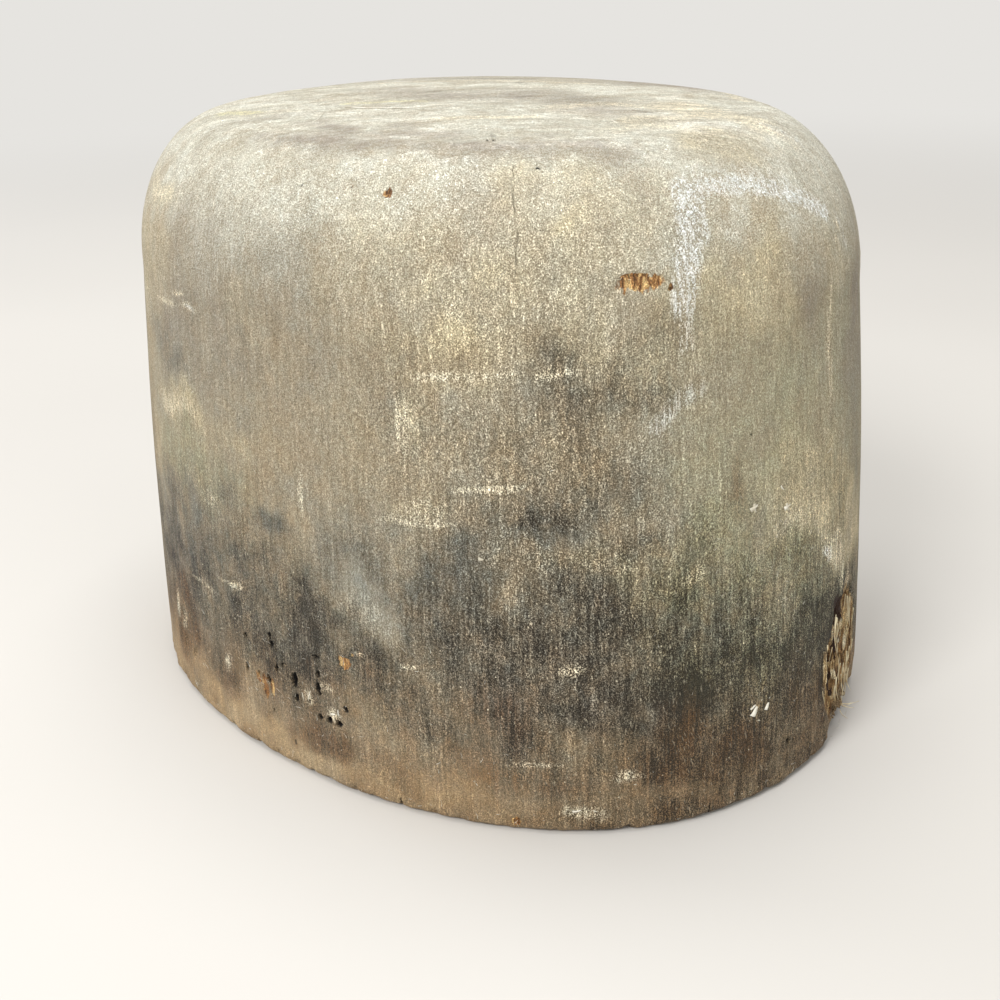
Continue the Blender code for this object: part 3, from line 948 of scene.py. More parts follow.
        "flakeWhite": (-157.5, 101.7, 3.4, 0.8, 0, 0.8),
        "frontSmear": (9, 51.5, 4, 2.2, -42, 0.6),
        "rimLight": (-2, 147, 32, 10, 0, 0.22),
    },
}

cloudiness = {
    # how far clouds of a centimetre or two thin and thicken each layer, stains and painted light and shade
    # alike
    "olive": 0.6, "mauve": 0.7, "beige": 0.7, "bleachedAndLit": 0.35, "bluish": 0.6, "grimeAndShade": 0.3, "earth": 1.0,
    "tan": 0.4,
}
# the grime layer also holds painted shade, which lies thicker in the same way
thickest = {"grimeAndShade": 1.3}  # grime lies thicker than full strength where its patches overlap

crownLines = {
    # points x and y in millimetres, half-width, strength
    "mauve": {
        "leftBand": (((-11, -61), (1, -59), (11, -57), (18, -55)), 4.5, 0.75),
        "middleBand": (((21, -55), (29, -52), (38, -48), (47, -42)), 4.5, 0.75),
        "farField": (((-30, -4), (-6, -5), (3, 8)), 10.0, 0.5),
        "middleField": (((8, 0), (17, 5), (33, 4)), 10.0, 0.5),
        "rightField": (((33, -5), (46, -1), (52, 0)), 6.0, 0.4),
        "scratchShade": (((70, 20), (74, 19), (78, 18)), 2.5, 0.7),
        "backField": (((-60, 20), (-30, 40), (10, 50)), 12.0, 0.5),
    },
    "grimeAndShade": {
        "leftCore": (((6, -58), (13, -57)), 3.0, 0.22),
        "farStreak": (((-17, -2), (-14, 2)), 1.2, 0.45),
        "farLine": (((-14, 24), (-9, 23)), 1.0, 0.6),
        "middleCore": (((6, -3), (18, 6), (32, 6)), 6.0, 0.1),
        "rightStreak": (((42, 4), (46, 4)), 1.1, 0.4),
        "smallPits": (((38, -35), (40, -36.5)), 0.6, 0.35),
        "backStreak": (((-48, 28), (-20, 36)), 2.0, 0.3),
    },
    "earth": {
        "crack": (((38, -16.5), (42, -16), (47, -18.6), (52, -19)), 0.6, 0.28),
        "scratchOne": (((68, 14), (73, 12), (76, 11), (79, 13)), 0.5, 0.9),
        "backScratch": (((-20, 55), (2, 58)), 0.6, 0.8),
    },
    "pale": {
        "broadEdge": (((17, -29), (25, -23), (32, -18)), 2.4, 0.6),
        "cream": (((43, 17), (57, 13), (68, 12)), 6.0, 0.6),
        "creamMiddle": (((27, -4), (34, 8), (45, 12)), 4.0, 0.45),
        "backArc": (((-50, 10), (-30, 24), (0, 34)), 1.6, 0.7),
        "backStreak": (((-5, 62), (30, 50), (48, 36)), 1.2, 0.7),
    },
    "yellow": {
        "oilSpot": (((-38, -46), (-37, -43), (-33, -42)), 3.0, 0.9),
        "oilStreak": (((-19, -25), (-11, -18), (-3, -14)), 2.6, 0.6),
    },
}

chalkLines = {
    # points across and up, half-width, strength
    "bar": (((-28, 131.5), (-29.5, 127), (-31.5, 118), (-33, 111)), 2.9, 1.1),
    "barFade": (((-33, 111), (-33.5, 104)), 2.4, 0.5),
    "innerStroke": (((-25, 131), (-26.5, 122)), 1.2, 0.7),
    "arc": (((-30, 130.6), (-22, 131.6), (-12, 131.2), (-3, 129.4), (5, 126.6), (12.5, 122.6)), 1.9, 1.35),
    "arcGlow": (((-26, 134), (-10, 133.5), (2, 130.5)), 3.0, 0.32),
    "blob": (((-31, 95), (-36, 93), (-40, 88)), 2.2, 0.38),
    "edgeMark": (((17.5, 121), (20, 114)), 1.0, 0.5),
    "topMark": (((20, 142), (23, 138)), 3.0, 0.5),
}


def paintLayers(across, up, points):
    # soft edges wander with the wood, so that no patch looks like an oval, and clouds break up the stains
    wander = noiseAt(points, (13, 13, 17), 4)
    wanderUp = noiseAt(points + 0.05, (11, 11, 13), 4)
    drift = noiseAt(points, (40, 40, 46), 3)
    clouds = noiseAt(points + 0.11, (10, 10, 15), 4)
    onCrown = smoothStep(138, 145, up)
    layers = {}
    for name in ("raised", *wood["layers"]):
        amount = np.zeros(len(across))
        if name in heightTones:
            heights, amounts = heightTones[name]
            amount = np.interp(up + 9 * wanderUp, heights, amounts) * (1 + 0.3 * drift)
        for centreX, centreY, halfWide, halfHigh, lean, strength in patches.get(name, {}).values():
            loose = min(halfWide, halfHigh, 10) * 0.9
            share = patchShare(across + loose * wander, up + loose * wanderUp, (centreX, centreY),
                               (halfWide * 1.25, halfHigh * 1.25), lean, 0.1)
            amount = amount + (1 - amount) * strength * share
        for places, halfWide, strength in crownLines.get(name, {}).values():
            loose = min(halfWide, 4) * 0.8
            distance = lineDistance(
                points[:, 0] / mm + loose * wander, points[:, 1] / mm + loose * wanderUp, places,
            ) / halfWide
            share = 1 - smoothStep(0.3, 1.4, distance)
            amount = amount + (1 - amount) * strength * share * onCrown
        amount = amount * (1 + cloudiness.get(name, 0) * clouds)
        layers[name] = np.clip(amount, 0, thickest.get(name, 1))
    chalk = np.zeros(len(across))
    for places, halfWide, strength in chalkLines.values():
        distance = lineDistance(across + 0.8 * wander, up + 0.8 * wanderUp, places) / halfWide
        chalk = np.maximum(chalk, strength * (1 - smoothStep(0.2, 1.5, distance)))
    layers["chalk"] = chalk
    return layers


wood = {
    "colours": {
        # grime also stands for painted shade low on the side, and bleached for painted light from above on
        # the shoulder and crown
        "base": "#A49A84", "baseWarm": "#AD9E82", "baseCool": "#9B998B", "olive": "#B0AA8B",
        "mauve": "#978D80", "beige": "#C7B998", "bleachedAndLit": "#CDCABB", "bluish": "#80837C",
        "grimeAndShade": "#2A241C", "tan": "#B2956E", "earth": "#6D4D2D", "pale": "#DAD0B6",
        "yellow": "#DCD5A4", "white": "#E8E7E0", "chalk": "#E0E1DD",
        "freshDeep": "#5A391C", "freshMid": "#A1713F", "freshPale": "#D8B67C",
        "tornDeep": "#44290F", "tornMid": "#8C6B42", "tornPale": "#BFA577",
        "sliverDeep": "#7A6040", "sliverMid": "#C4AF83", "sliverPale": "#ECE3C8",
        "hollow": "#2C160B", "hole": "#080504",
    },
    "grain": {
        # cell in millimetres across, along and up; turn in degrees about x and z; octaves, roughness, bend.
        # Real fibres are finer: they are drawn no finer than the picture can hold
        "grit": ((0.26, 0.26, 0.31), (0, 0), 1, 0.5, 0.0),
        "strands": ((0.3, 0.3, 0.95), (8, 30), 1, 0.5, 0.0),
        "fibre": ((0.5, 0.5, 9.0), (0, 0), 1, 0.5, 0.0),
        "bands": ((0.75, 0.75, 40), (0, 0), 1, 0.6, 0.0),
        "splits": ((0.8, 0.8, 7), (0, 0), 3, 0.6, 0.5),
        "nap": ((0.4, 0.4, 1.5), (-34, -52), 1, 0.5, 0.0),
        "hairs": ((0.4, 0.4, 1.8), (14, -30), 0, 0.5, 0.0),
        "stain": ((2.4, 2.4, 3.4), (0, 0), 3, 0.6, 0.4),
        "mottle": ((4.5, 4.5, 6.5), (0, 0), 3, 0.5, 0.4),
        "clouds": ((13, 13, 18), (0, 0), 4, 0.6, 0.4),
        "drift": ((34, 34, 44), (0, 0), 3, 0.5, 0.0),
        "flecks": ((0.8, 0.9, 1.0), (0, -42), 2, 0.6, 0.3),
        "wisps": ((1.1, 4.5, 2.0), (0, -52), 2, 0.6, 0.6),
        "swirl": ((2.2, 11, 6.0), (0, -42), 3, 0.55, 1.0),
        "broadSwirl": ((8.0, 26, 14), (0, -36), 3, 0.55, 1.0),
    },
    "contrast": {
        # how strongly each of them lightens and darkens the surface
        "grit": 4.3, "strands": 1.4, "fibre": 1.5, "nap": 1.2, "bands": 1.3, "mottle": 0.5,
        "flecks": 2.2, "wisps": 1.7, "swirl": 0.8, "broadSwirl": 1.9,
    },
    "fibreBump": 0.4,  # height of the shading's relief, in millimetres
    "dentBump": 0.7,
    "speckCell": 1.3,  # millimetres from one speck of dust to the next
    "layers": {
        # colour laid over the last one: pattern that breaks it up, how much it does, the amounts where it
        # starts and is full, strength
        "olive": ("soft", 0.5, 0.0, 1.0, 0.9),
        "bleachedAndLit": ("soft", 0.4, 0.0, 1.0, 0.9),
        "beige": ("soft", 0.8, 0.0, 1.0, 0.9),
        "mauve": ("soft", 0.5, 0.0, 1.0, 0.85),
        "tan": ("soft", 0.4, 0.0, 1.0, 0.85),
        "bluish": ("soft", 0.6, 0.0, 1.0, 0.75),
        "grimeAndShade": ("hollows", 0.42, 0.0, 1.0, 0.95),
        "earth": ("ribbed", 0.6, 0.1, 1.2, 0.5),
        "pale": ("fine", 0.8, 0.15, 0.9, 0.8),
        "yellow": ("fine", 0.8, 0.2, 0.9, 0.7),
        "white": ("fine", 0.8, 0.25, 0.8, 0.85),
        "chalk": ("ribbed", 0.6, 0.16, 1.3, 0.7),
    },
}


def makeGrain(tree, place):
    grain = {}
    for name, (cell, (turnX, turnZ), octaves, roughness, bend) in wood["grain"].items():
        mapped = addNode(tree, "Mapping", {
            "Vector": place, "Rotation": (math.radians(turnX), 0, math.radians(turnZ)),
            "Scale": [side * mm for side in cell],
        }, vector_type="TEXTURE")
        grain[name] = addNode(tree, "TexNoise", {
            "Vector": mapped, "Scale": 1.0, "Detail": float(octaves), "Roughness": roughness,
            "Distortion": bend,
        })
    return grain


def fibreTone(tree, place, grain):
    # fibres show as fine upright lines low down, as slanting nap higher up and as swirls on the crown
    height = addNode(tree, "SeparateXYZ", {0: place}, out="Z")
    upperShare = addNode(tree, "MapRange", {0: height, 1: 0.045, 2: 0.085, 3: 0.25, 4: 0.8},
                         interpolation_type="SMOOTHSTEP")
    crownShare = addNode(tree, "MapRange", {0: height, 1: 0.131, 2: 0.137}, interpolation_type="SMOOTHSTEP")
    sideShare = addNode(tree, "Math", {0: 1.0, 1: crownShare}, operation="SUBTRACT")
    napShare = addNode(tree, "Math", {0: upperShare, 1: sideShare}, operation="MULTIPLY")
    fibreShare = addNode(tree, "Math", {0: sideShare, 1: upperShare}, operation="SUBTRACT", use_clamp=True)
    shares = {
        "nap": napShare, "strands": sideShare, "fibre": fibreShare, "bands": sideShare,
        "flecks": crownShare, "wisps": crownShare, "swirl": crownShare, "broadSwirl": crownShare,
    }
    tone = 0.0
    for name, contrast in wood["contrast"].items():
        centred = addNode(tree, "Math", {0: grain[name], 1: 0.5}, operation="SUBTRACT")
        if name in shares:
            centred = addNode(tree, "Math", {0: centred, 1: shares[name]}, operation="MULTIPLY")
        tone = addNode(tree, "Math", {0: centred, 1: contrast, 2: tone}, operation="MULTIPLY_ADD")
    return tone


def layStains(tree, colours, grain, masks, fine):
    # bare wood, warmer and cooler in clouds, and each stain and each layer of painted light and shade over
    # it, broken up by fibres or patches
    patchy = addNode(tree, "Mix", {0: 0.45, 2: grain["mottle"], 3: grain["clouds"]})
    patchy = addNode(tree, "MapRange", {0: patchy, 1: 0.32, 2: 0.68})
    ribs = addNode(tree, "Mix", {0: 0.72, 2: fine, 3: grain["bands"]})
    between = addNode(tree, "Math", {0: 1.0, 1: fine}, operation="SUBTRACT")
    patterns = {
        "fine": fine,
        "soft": addNode(tree, "Mix", {0: 0.3, 2: patchy, 3: fine}),
        "ribbed": addNode(tree, "MapRange", {0: ribs, 1: 0.4, 2: 0.6}),
        "hollows": addNode(tree, "Mix", {0: 0.4, 2: patchy, 3: between}),
    }
    warmth = addNode(tree, "MapRange", {0: grain["drift"], 1: 0.4, 2: 0.6})
    coolness = addNode(tree, "MapRange", {0: grain["clouds"], 1: 0.42, 2: 0.65, 4: 0.6})
    colour = colours["base"]
    for share, name in ((warmth, "baseWarm"), (coolness, "baseCool")):
        colour = addNode(tree, "Mix", {0: share, 6: colour, 7: colours[name]}, **rgba)
    for name, (pattern, breakUp, start, full, strength) in wood["layers"].items():
        uneven = addNode(tree, "MapRange", {
            0: patterns[pattern], 1: 0.15, 2: 0.85, 3: 1 - breakUp, 4: 1 + breakUp,
        })
        amount = addNode(tree, "Math", {0: masks[name], 1: uneven}, operation="MULTIPLY")
        amount = addNode(tree, "MapRange", {0: amount, 1: start, 2: full, 4: strength})
        colour = addNode(tree, "Mix", {0: amount, 6: colour, 7: colours[name]}, **rgba)
    return colour


def tintStains(tree, colour, grain, masks, fine):
    # stains lean to brown or to grey, the right side to olive, and hollows are warmer than dusty tops
    stain = addNode(tree, "MapRange", {0: grain["stain"], 1: 0.34, 2: 0.66})
    stainShare = addNode(tree, "MapRange", {0: masks["grimeAndShade"], 1: 0.0, 2: 0.6, 3: 0.3, 4: 1.0})
    oliveShare = addNode(tree, "Math", {0: masks["olive"], 1: masks["grimeAndShade"]}, operation="MULTIPLY")
    for share, first, second, amount in (
        (stain, (1.07, 1.0, 0.92, 1), (0.95, 1.0, 1.04, 1), stainShare),
        (grain["mottle"], (1.1, 0.99, 0.92, 1), (0.94, 1.01, 1.02, 1), stainShare),
        (fine, (1.03, 1.0, 0.93, 1), (0.97, 1.0, 1.06, 1), 1.0),
        (0.0, (0.98, 1.03, 0.94, 1), (1, 1, 1, 1), oliveShare),
    ):
        tint = addNode(tree, "Mix", {0: share, 6: first, 7: second}, **rgba)
        colour = addNode(tree, "Mix", {0: amount, 6: colour, 7: tint}, blend_type="MULTIPLY", **rgba)
    return colour


def strewDust(tree, colour, dust, place, hairs, grimeAndShade):
    # tiny pale specks of lint and dust, most of them on the grimed part
    speckScale = [wood["speckCell"] * mm] * 3
    cells = addNode(tree, "Mapping", {"Vector": place, "Scale": speckScale}, vector_type="TEXTURE")
    speckNode = tree.nodes.new("ShaderNodeTexVoronoi")
    tree.links.new(cells, speckNode.inputs["Vector"])
    speckNode.inputs["Scale"].default_value = 1.0
    chosen = addNode(tree, "SeparateColor", {0: speckNode.outputs["Color"]})
    speckSize = addNode(tree, "MapRange", {0: chosen, 1: 0.78, 2: 1.0, 3: 0.04, 4: 0.17})
    near = addNode(tree, "Math", {0: speckNode.outputs["Distance"], 1: speckSize}, operation="LESS_THAN")
    hair = addNode(tree, "MapRange", {0: hairs, 1: 0.7, 2: 0.8, 4: 0.35})
    near = addNode(tree, "Math", {0: near, 1: hair}, operation="MAXIMUM")
    speckShare = addNode(tree, "MapRange", {0: grimeAndShade, 1: 0.1, 2: 0.7, 3: 0.1, 4: 0.6})
    speckShare = addNode(tree, "Math", {0: near, 1: speckShare}, operation="MULTIPLY")
    return addNode(tree, "Mix", {0: speckShare, 6: colour, 7: dust}, **rgba)


def fibreGain(tree, tone, masks):
    # fibre tops are paler than the dirt and painted fine shade between them, more so where there is more
    # grime and painted shade or they stand up
    strength = addNode(tree, "MapRange", {0: masks["grimeAndShade"], 1: 0.0, 2: 0.8, 3: 0.73, 4: 0.86})
    standing = addNode(tree, "MapRange", {0: masks["raised"], 3: 0.88, 4: 1.5})
    strength = addNode(tree, "Math", {0: strength, 1: standing}, operation="MULTIPLY")
    gain = addNode(tree, "Math", {0: tone, 1: strength}, operation="MULTIPLY")
    return addNode(tree, "Math", {0: 2.0, 1: gain}, operation="POWER")


def openWood(tree, colour, colours, splits, masks, gain):
    # opened wood: brown where new, greyer in the old torn place, with pale slivers and dark hollows
    streak = addNode(tree, "MapRange", {0: splits, 1: 0.38, 2: 0.5})
    streakPale = addNode(tree, "MapRange", {0: splits, 1: 0.5, 2: 0.62})
    for kind in ("fresh", "torn", "sliver"):
        deep, mid, pale = (colours[kind + shade] for shade in ("Deep", "Mid", "Pale"))
        opened = addNode(tree, "Mix", {0: streak, 6: deep, 7: mid}, **rgba)
        opened = addNode(tree, "Mix", {0: streakPale, 6: opened, 7: pale}, **rgba)
        opened = addNode(tree, "Mix", {0: 1.0, 6: opened, 7: gain}, blend_type="MULTIPLY", **rgba)
        openShare = addNode(tree, "MapRange", {0: masks[kind], 1: 0.25, 2: 0.6, 4: 0.95})
        colour = addNode(tree, "Mix", {0: openShare, 6: colour, 7: opened}, **rgba)
    for name, kind, full in (("hollow", "hollow", 0.45), ("dark", "hole", 0.55)):
        share = addNode(tree, "MapRange", {0: masks[name], 1: 0.15, 2: full, 4: 0.97})
        colour = addNode(tree, "Mix", {0: share, 6: colour, 7: colours[kind]}, **rgba)
    return colour


def makeLimewood():
    # Lime, rasped and scraped to shape and left bare: matte and dusty, with short raised fibres that catch
    # the light at the edges, grimed below and rubbed pale above, with painted shade towards the base,
    # painted light from above on the shoulder and crown, and painted highlights along the edges
    material, tree, shader = newMaterial("raspedLimewood", 0.82)
    colours = {name: linearColour(value) for name, value in wood["colours"].items()}
    place = addNode(tree, "TexCoord", out="Object")
    grain = makeGrain(tree, place)
    masks = {}
    for name in (*wood["layers"], "raised", "fresh", "torn", "hollow", "sliver", "dark"):
        masks[name] = addNode(tree, "Attribute", out="Fac", attribute_name=name)
    tone = fibreTone(tree, place, grain)
    fine = addNode(tree, "MapRange", {0: tone, 1: -0.8, 2: 0.8})  # the same tone, from 0 to 1
    colour = layStains(tree, colours, grain, masks, fine)
    colour = tintStains(tree, colour, grain, masks, fine)
    colour = strewDust(tree, colour, colours["pale"], place, grain["hairs"], masks["grimeAndShade"])
    gain = fibreGain(tree, tone, masks)
    colour = addNode(tree, "Mix", {0: 1.0, 6: colour, 7: gain}, blend_type="MULTIPLY", **rgba)
    colour = openWood(tree, colour, colours, grain["splits"], masks, gain)
    tree.links.new(colour, shader.inputs["Base Color"])
    bump = addNode(tree, "Bump", {"Height": fine, "Distance": wood["fibreBump"] * mm, "Strength": 0.8})
    bump = addNode(tree, "Bump", {
        "Height": grain["mottle"], "Distance": wood["dentBump"] * mm, "Strength": 0.6, "Normal": bump,
    })
    tree.links.new(bump, shader.inputs["Normal"])
    roughness = addNode(tree, "MapRange", {0: grain["mottle"], 1: 0.3, 2: 0.7, 3: 0.74, 4: 0.92})
    tree.links.new(roughness, shader.inputs["Roughness"])
    shader.inputs["Specular IOR Level"].default_value = 0.25
    shader.inputs["Sheen Weight"].default_value = 0.06
    shader.inputs["Sheen Roughness"].default_value = 0.45
    return material


buildCrownBlock(makeLimewood())


# Iron socket plate and its wood screws, let into the base

iron = {
    "colours": {
        "skin": "#3E3A37", "skinPale": "#56514C", "rust": "#6A3B20", "rustPale": "#8E5B31",
        "worn": "#8A867F", "steel": "#6F6A63", "steelDark": "#3A342E",
    },
    "rounding": {"socket_plate": 0.35, "plate_screw": 0.12},  # worn edges, in millimetres
    "wornReach": 3.5,  # how far from the bore the spindle's shoulder has rubbed the face, in millimetres
    "skinBump": 0.2,  # height of the shading's relief, in millimetres
    "grain": {
        # cell in millimetres, octaves, roughness
        "casting": (1.1, 3, 0.6),
        "rusting": (9.0, 5, 0.7),
        "speckle": (0.6, 2, 0.6),
    },
}


def makeIron(name, polished):
    # Cast iron with a sand-cast skin, rusted in its hollows and rubbed bright where a spindle turns, so
    # that the light breaks up on it. The screws' steel is smoother, with the same rust
    material, tree, shader = newMaterial(name, 0.6, 1.0)
    colours = {key: linearColour(value) for key, value in iron["colours"].items()}
    place = addNode(tree, "TexCoord", out="Object")
    grain = {}
    for key, (cell, octaves, roughness) in iron["grain"].items():
        grain[key] = addNode(tree, "TexNoise", {
            "Vector": place, "Scale": 1 / (cell * mm), "Detail": float(octaves), "Roughness": roughness,
        })
    dark, pale = ("steelDark", "steel") if polished else ("skin", "skinPale")
    share = addNode(tree, "MapRange", {0: grain["casting"], 1: 0.35, 2: 0.68})
    colour = addNode(tree, "Mix", {0: share, 6: colours[dark], 7: colours[pale]}, **rgba)
    if not polished:
        spot = addNode(tree, "VectorMath", {0: place, 1: (1, 1, 0)}, operation="MULTIPLY")
        fromAxis = addNode(tree, "VectorMath", {0: spot}, out="Value", operation="LENGTH")
        bore = block["boreRadius"]
        rubbed = addNode(tree, "MapRange", {
            0: fromAxis, 1: bore, 2: bore + iron["wornReach"] * mm, 3: 1.0, 4: 0.0,
        })
        uneven = addNode(tree, "MapRange", {0: grain["rusting"], 1: 0.35, 2: 0.6, 3: 1.0, 4: 0.2})
        rubbed = addNode(tree, "Math", {0: rubbed, 1: uneven}, operation="MULTIPLY")
        colour = addNode(tree, "Mix", {0: rubbed, 6: colour, 7: colours["worn"]}, **rgba)
    rust = addNode(tree, "Mix", {0: grain["speckle"], 6: colours["rust"], 7: colours["rustPale"]}, **rgba)
    mostRust = 0.5 if polished else 0.9
    rustShare = addNode(tree, "MapRange", {0: grain["rusting"], 1: 0.5, 2: 0.62, 4: mostRust})
    colour = addNode(tree, "Mix", {0: rustShare, 6: colour, 7: rust}, **rgba)
    tree.links.new(colour, shader.inputs["Base Color"])
    tree.links.new(addNode(tree, "MapRange", {0: rustShare, 3: 1.0, 4: 0.1}), shader.inputs["Metallic"])
    tree.links.new(addNode(tree, "MapRange", {0: rustShare, 3: 0.42, 4: 0.85}), shader.inputs["Roughness"])
    height = addNode(tree, "Math", {0: rustShare, 1: 0.6, 2: grain["casting"]}, operation="MULTIPLY_ADD")
    bump = addNode(tree, "Bump", {
        "Height": height, "Distance": iron["skinBump"] * mm, "Strength": 0.3 if polished else 0.8,
    })
    tree.links.new(bump, shader.inputs["Normal"])
    return material


def buildWornSolid(name, rounding, material):
    # a merged copy of the CAD solid, with its edges worn round
    solid = bmesh.new()
    solid.from_mesh(nodes[name].data)
    solid.transform(nodes[name].matrix_world)
    bmesh.ops.remove_doubles(solid, verts=solid.verts, dist=1e-6)
    bmesh.ops.dissolve_limit(solid, angle_limit=math.radians(2), verts=solid.verts, edges=solid.edges)
    sharp = [edge for edge in solid.edges if edge.is_manifold and edge.calc_face_angle() > math.radians(32)]
    bmesh.ops.bevel(solid, geom=sharp, offset=rounding * mm, offset_type="OFFSET", segments=3, profile=0.5,
                    affect="EDGES", clamp_overlap=True, material=-1)
    bmesh.ops.triangulate(solid, faces=[face for face in solid.faces if len(face.verts) > 4])
    bmesh.ops.recalc_face_normals(solid, faces=solid.faces)
    piece = addPiece(name + "_worn", solid, material, [name])
    piece.data.set_sharp_from_angle(angle=math.radians(40))


castIron = makeIron("rustySandCastIron", False)
screwSteel = makeIron("rustedScrewSteel", True)
for name in sorted(nodes):
    if name == "socket_plate":
        buildWornSolid(name, iron["rounding"]["socket_plate"], castIron)
    elif name.startswith("plate_screw"):
        buildWornSolid(name, iron["rounding"]["plate_screw"], screwSteel)
print("Socket plate and screws built")


# Loose fibres: splinters of the torn place and short hairs of lint and wood on the side

fibres = {
    "seed": 41,
    "splinters": {
        # root across and up, length, width, lean in degrees from upright, how far its end stands off
        "brightSliver": ((13.6, 33.0), 8.0, 0.6, 184, 0.5),
        "brightSliverTwo": ((14.6, 31.0), 5.5, 0.4, 188, 0.5),
        "leftLip": ((9.4, 28.0), 7.0, 0.5, 183, 0.5),
        "leftStrand": ((8.0, 22.0), 8.5, 0.35, 176, 0.3),
        "lowOne": ((15.2, 17.0), 6.0, 0.4, 178, 0.7),
        "lowTwo": ((18.5, 16.0), 6.5, 0.35, 172, 0.9),
        "outerOne": ((22.5, 14.0), 5.0, 0.35, 166, 1.1),
        "tuftOne": ((19.6, 7.5), 3.6, 0.3, 126, 2.4),
        "tuftTwo": ((20.6, 7.0), 4.2, 0.26, 104, 3.0),
        "tuftThree": ((19.2, 6.0), 3.0, 0.26, 152, 1.6),
        "tuftFour": ((21.0, 6.0), 3.4, 0.22, 84, 3.2),
    },
    "thatch": {
        # fine fibres strewn over the torn place: ranges in millimetres, and the lean's middle and spread
        "count": 26,
        "wide": 0.85,  # how much of the torn place they cover
        "high": 0.75,
        "fill": 0.9,
        "raise": 4,  # how far over the middle of the torn place their own middle lies
        "length": (3, 8),
        "width": (0.16, 0.34),
        "lean": (180, 7),
        "lift": (-0.6, 0.5),
    },
    "flakes": {
        # small white crumbs of lint and plaster, stuck to the side; same numbers
        "highOne": ((-18.2, 68.4), 1.9, 1.3, 62, 0.3),
        "highOneCross": ((-17.2, 69.6), 1.8, 0.9, 172, 0.3),
        "highTwo": ((-8.4, 66.2), 1.8, 1.2, 70, 0.3),
        "highTwoCross": ((-7.6, 67.2), 1.6, 0.8, 170, 0.3),
        "highThree": ((-9.4, 71.5), 1.2, 0.6, 150, 0.3),
        "roundSpeck": ((-76.0, 62.5), 1.1, 1.1, 90, 0.2),
        "lowOne": ((-17.2, 21.6), 2.3, 2.4, 28, 0.3),
        "lowOneSide": ((-17.8, 23.4), 1.5, 1.3, 60, 0.3),
        "lowTwo": ((-13.4, 21.8), 1.7, 1.8, 24, 0.3),
        "lowThree": ((-16.0, 20.2), 0.9, 0.7, 110, 0.3),
        "lowFour": ((-15.2, 24.4), 0.7, 0.5, 60, 0.3),
        "lowFive": ((-12.6, 23.8), 0.8, 0.5, 20, 0.3),
        "tackOne": ((-122.2, 21.4), 2.0, 0.6, 160, 0.3),
        "tackTwo": ((-119.6, 22.6), 2.6, 0.5, 190, 0.3),
        "tackThree": ((-113.8, 18.8), 1.6, 0.9, 70, 0.3),
        "tackFour": ((-111.6, 20.6), 1.4, 0.5, 170, 0.3),
        "underSix": ((-45.6, 12.0), 1.2, 0.7, 100, 0.3),
        "footOne": ((-57.8, 5.6), 1.8, 0.8, 70, 0.3),
        "footTwo": ((-54.0, 6.2), 1.5, 0.6, 110, 0.3),
    },
    "crownStreaks": {
        # scraped fibres that lie on the crown: x and y, length, width, direction in degrees from +Y, lift
        "fanOne": ((-25, -57), 14, 0.7, 31, 0.1),
        "fanTwo": ((-19, -57), 13, 0.6, 33, 0.1),
        "fanThree": ((-43, -37), 22, 0.8, 49, 0.1),
        "fanFour": ((-3, -52), 22, 0.5, -36, 0.1),
        "fanFive": ((-3, -48), 9, 0.5, 21, 0.1),
        "longStreak": ((-15, -29), 22, 1.0, 67, 0.1),
        "midStreak": ((-1, -39), 12, 0.7, 52, 0.1),
        "arcStart": ((10, -47), 10, 0.6, 24, 0.1),
        "arcEnd": ((14, -38), 14, 0.6, 69, 0.1),
        "hook": ((9, -51), 7, 0.5, 90, 0.1),
        "hookDown": ((15, -51), 6, 0.5, 143, 0.1),
        "leftHook": ((-17, -60), 3, 0.5, 180, 0.1),
        "leftHookEnd": ((-17, -62), 7, 0.5, 98, 0.1),
        "farLine": ((-45, -19), 10, 0.7, 45, 0.1),
        "farLineEnd": ((-38, -12), 8, 0.6, 104, 0.1),
        "lipOne": ((39, -13), 8, 0.6, 60, 0.1),
        "lipTwo": ((46, -9), 9, 0.6, 102, 0.1),
        "lipThree": ((55, -11), 13, 0.6, 90, 0.1),
        "lipLow": ((40, -18.5), 15, 0.5, 100, 0.1),
    },
    "hairFields": {
        # across from and to, up from and to, how many
        "rightLow": (-34, 2, 18, 66, 90),
        "middleLow": (-90, -34, 10, 60, 90),
        "leftLow": (-170, -90, 8, 50, 60),
        "tacks": (-146, -108, 13, 36, 110),
        "upper": (-170, 20, 66, 140, 50),
        "crownRim": (-230, 60, 140, 160, 60),
        "farSide": (30, 255, 10, 130, 120),
        "foot": (-170, 30, 0.5, 4, 60),
    },
    "hairs": {"length": (0.4, 1.9), "width": 0.12, "lean": (0, 40), "lift": (0.1, 0.6)},
    "looseStreaks": {
        # short streaks strewn over the crown, which lean as the named ones do
        "count": 70,
        "x": (-52, 66),
        "y": (-42, 24),
        "length": (2, 8),
        "width": (0.3, 0.5),
        "lean": (52, 14),
        "lift": 0.05,
    },
    "flakeThickness": 0.5,  # next to the width
    "streakThickness": 0.3,
    "bow": 0.08,  # next to the length
    "rootSunk": 0.05,  # millimetres that a fibre's root lies in the wood
    "mottle": 2.5,  # millimetres from one pale stretch to the next
    "colours": {
        "tornDark": "#A58B60", "tornPale": "#E2D6B4", "lintDark": "#C2BAA6", "lintPale": "#E9E5D8",
    },
}
profileTail = 110  # last points of the profile, from low on the shoulder to the middle of the crown


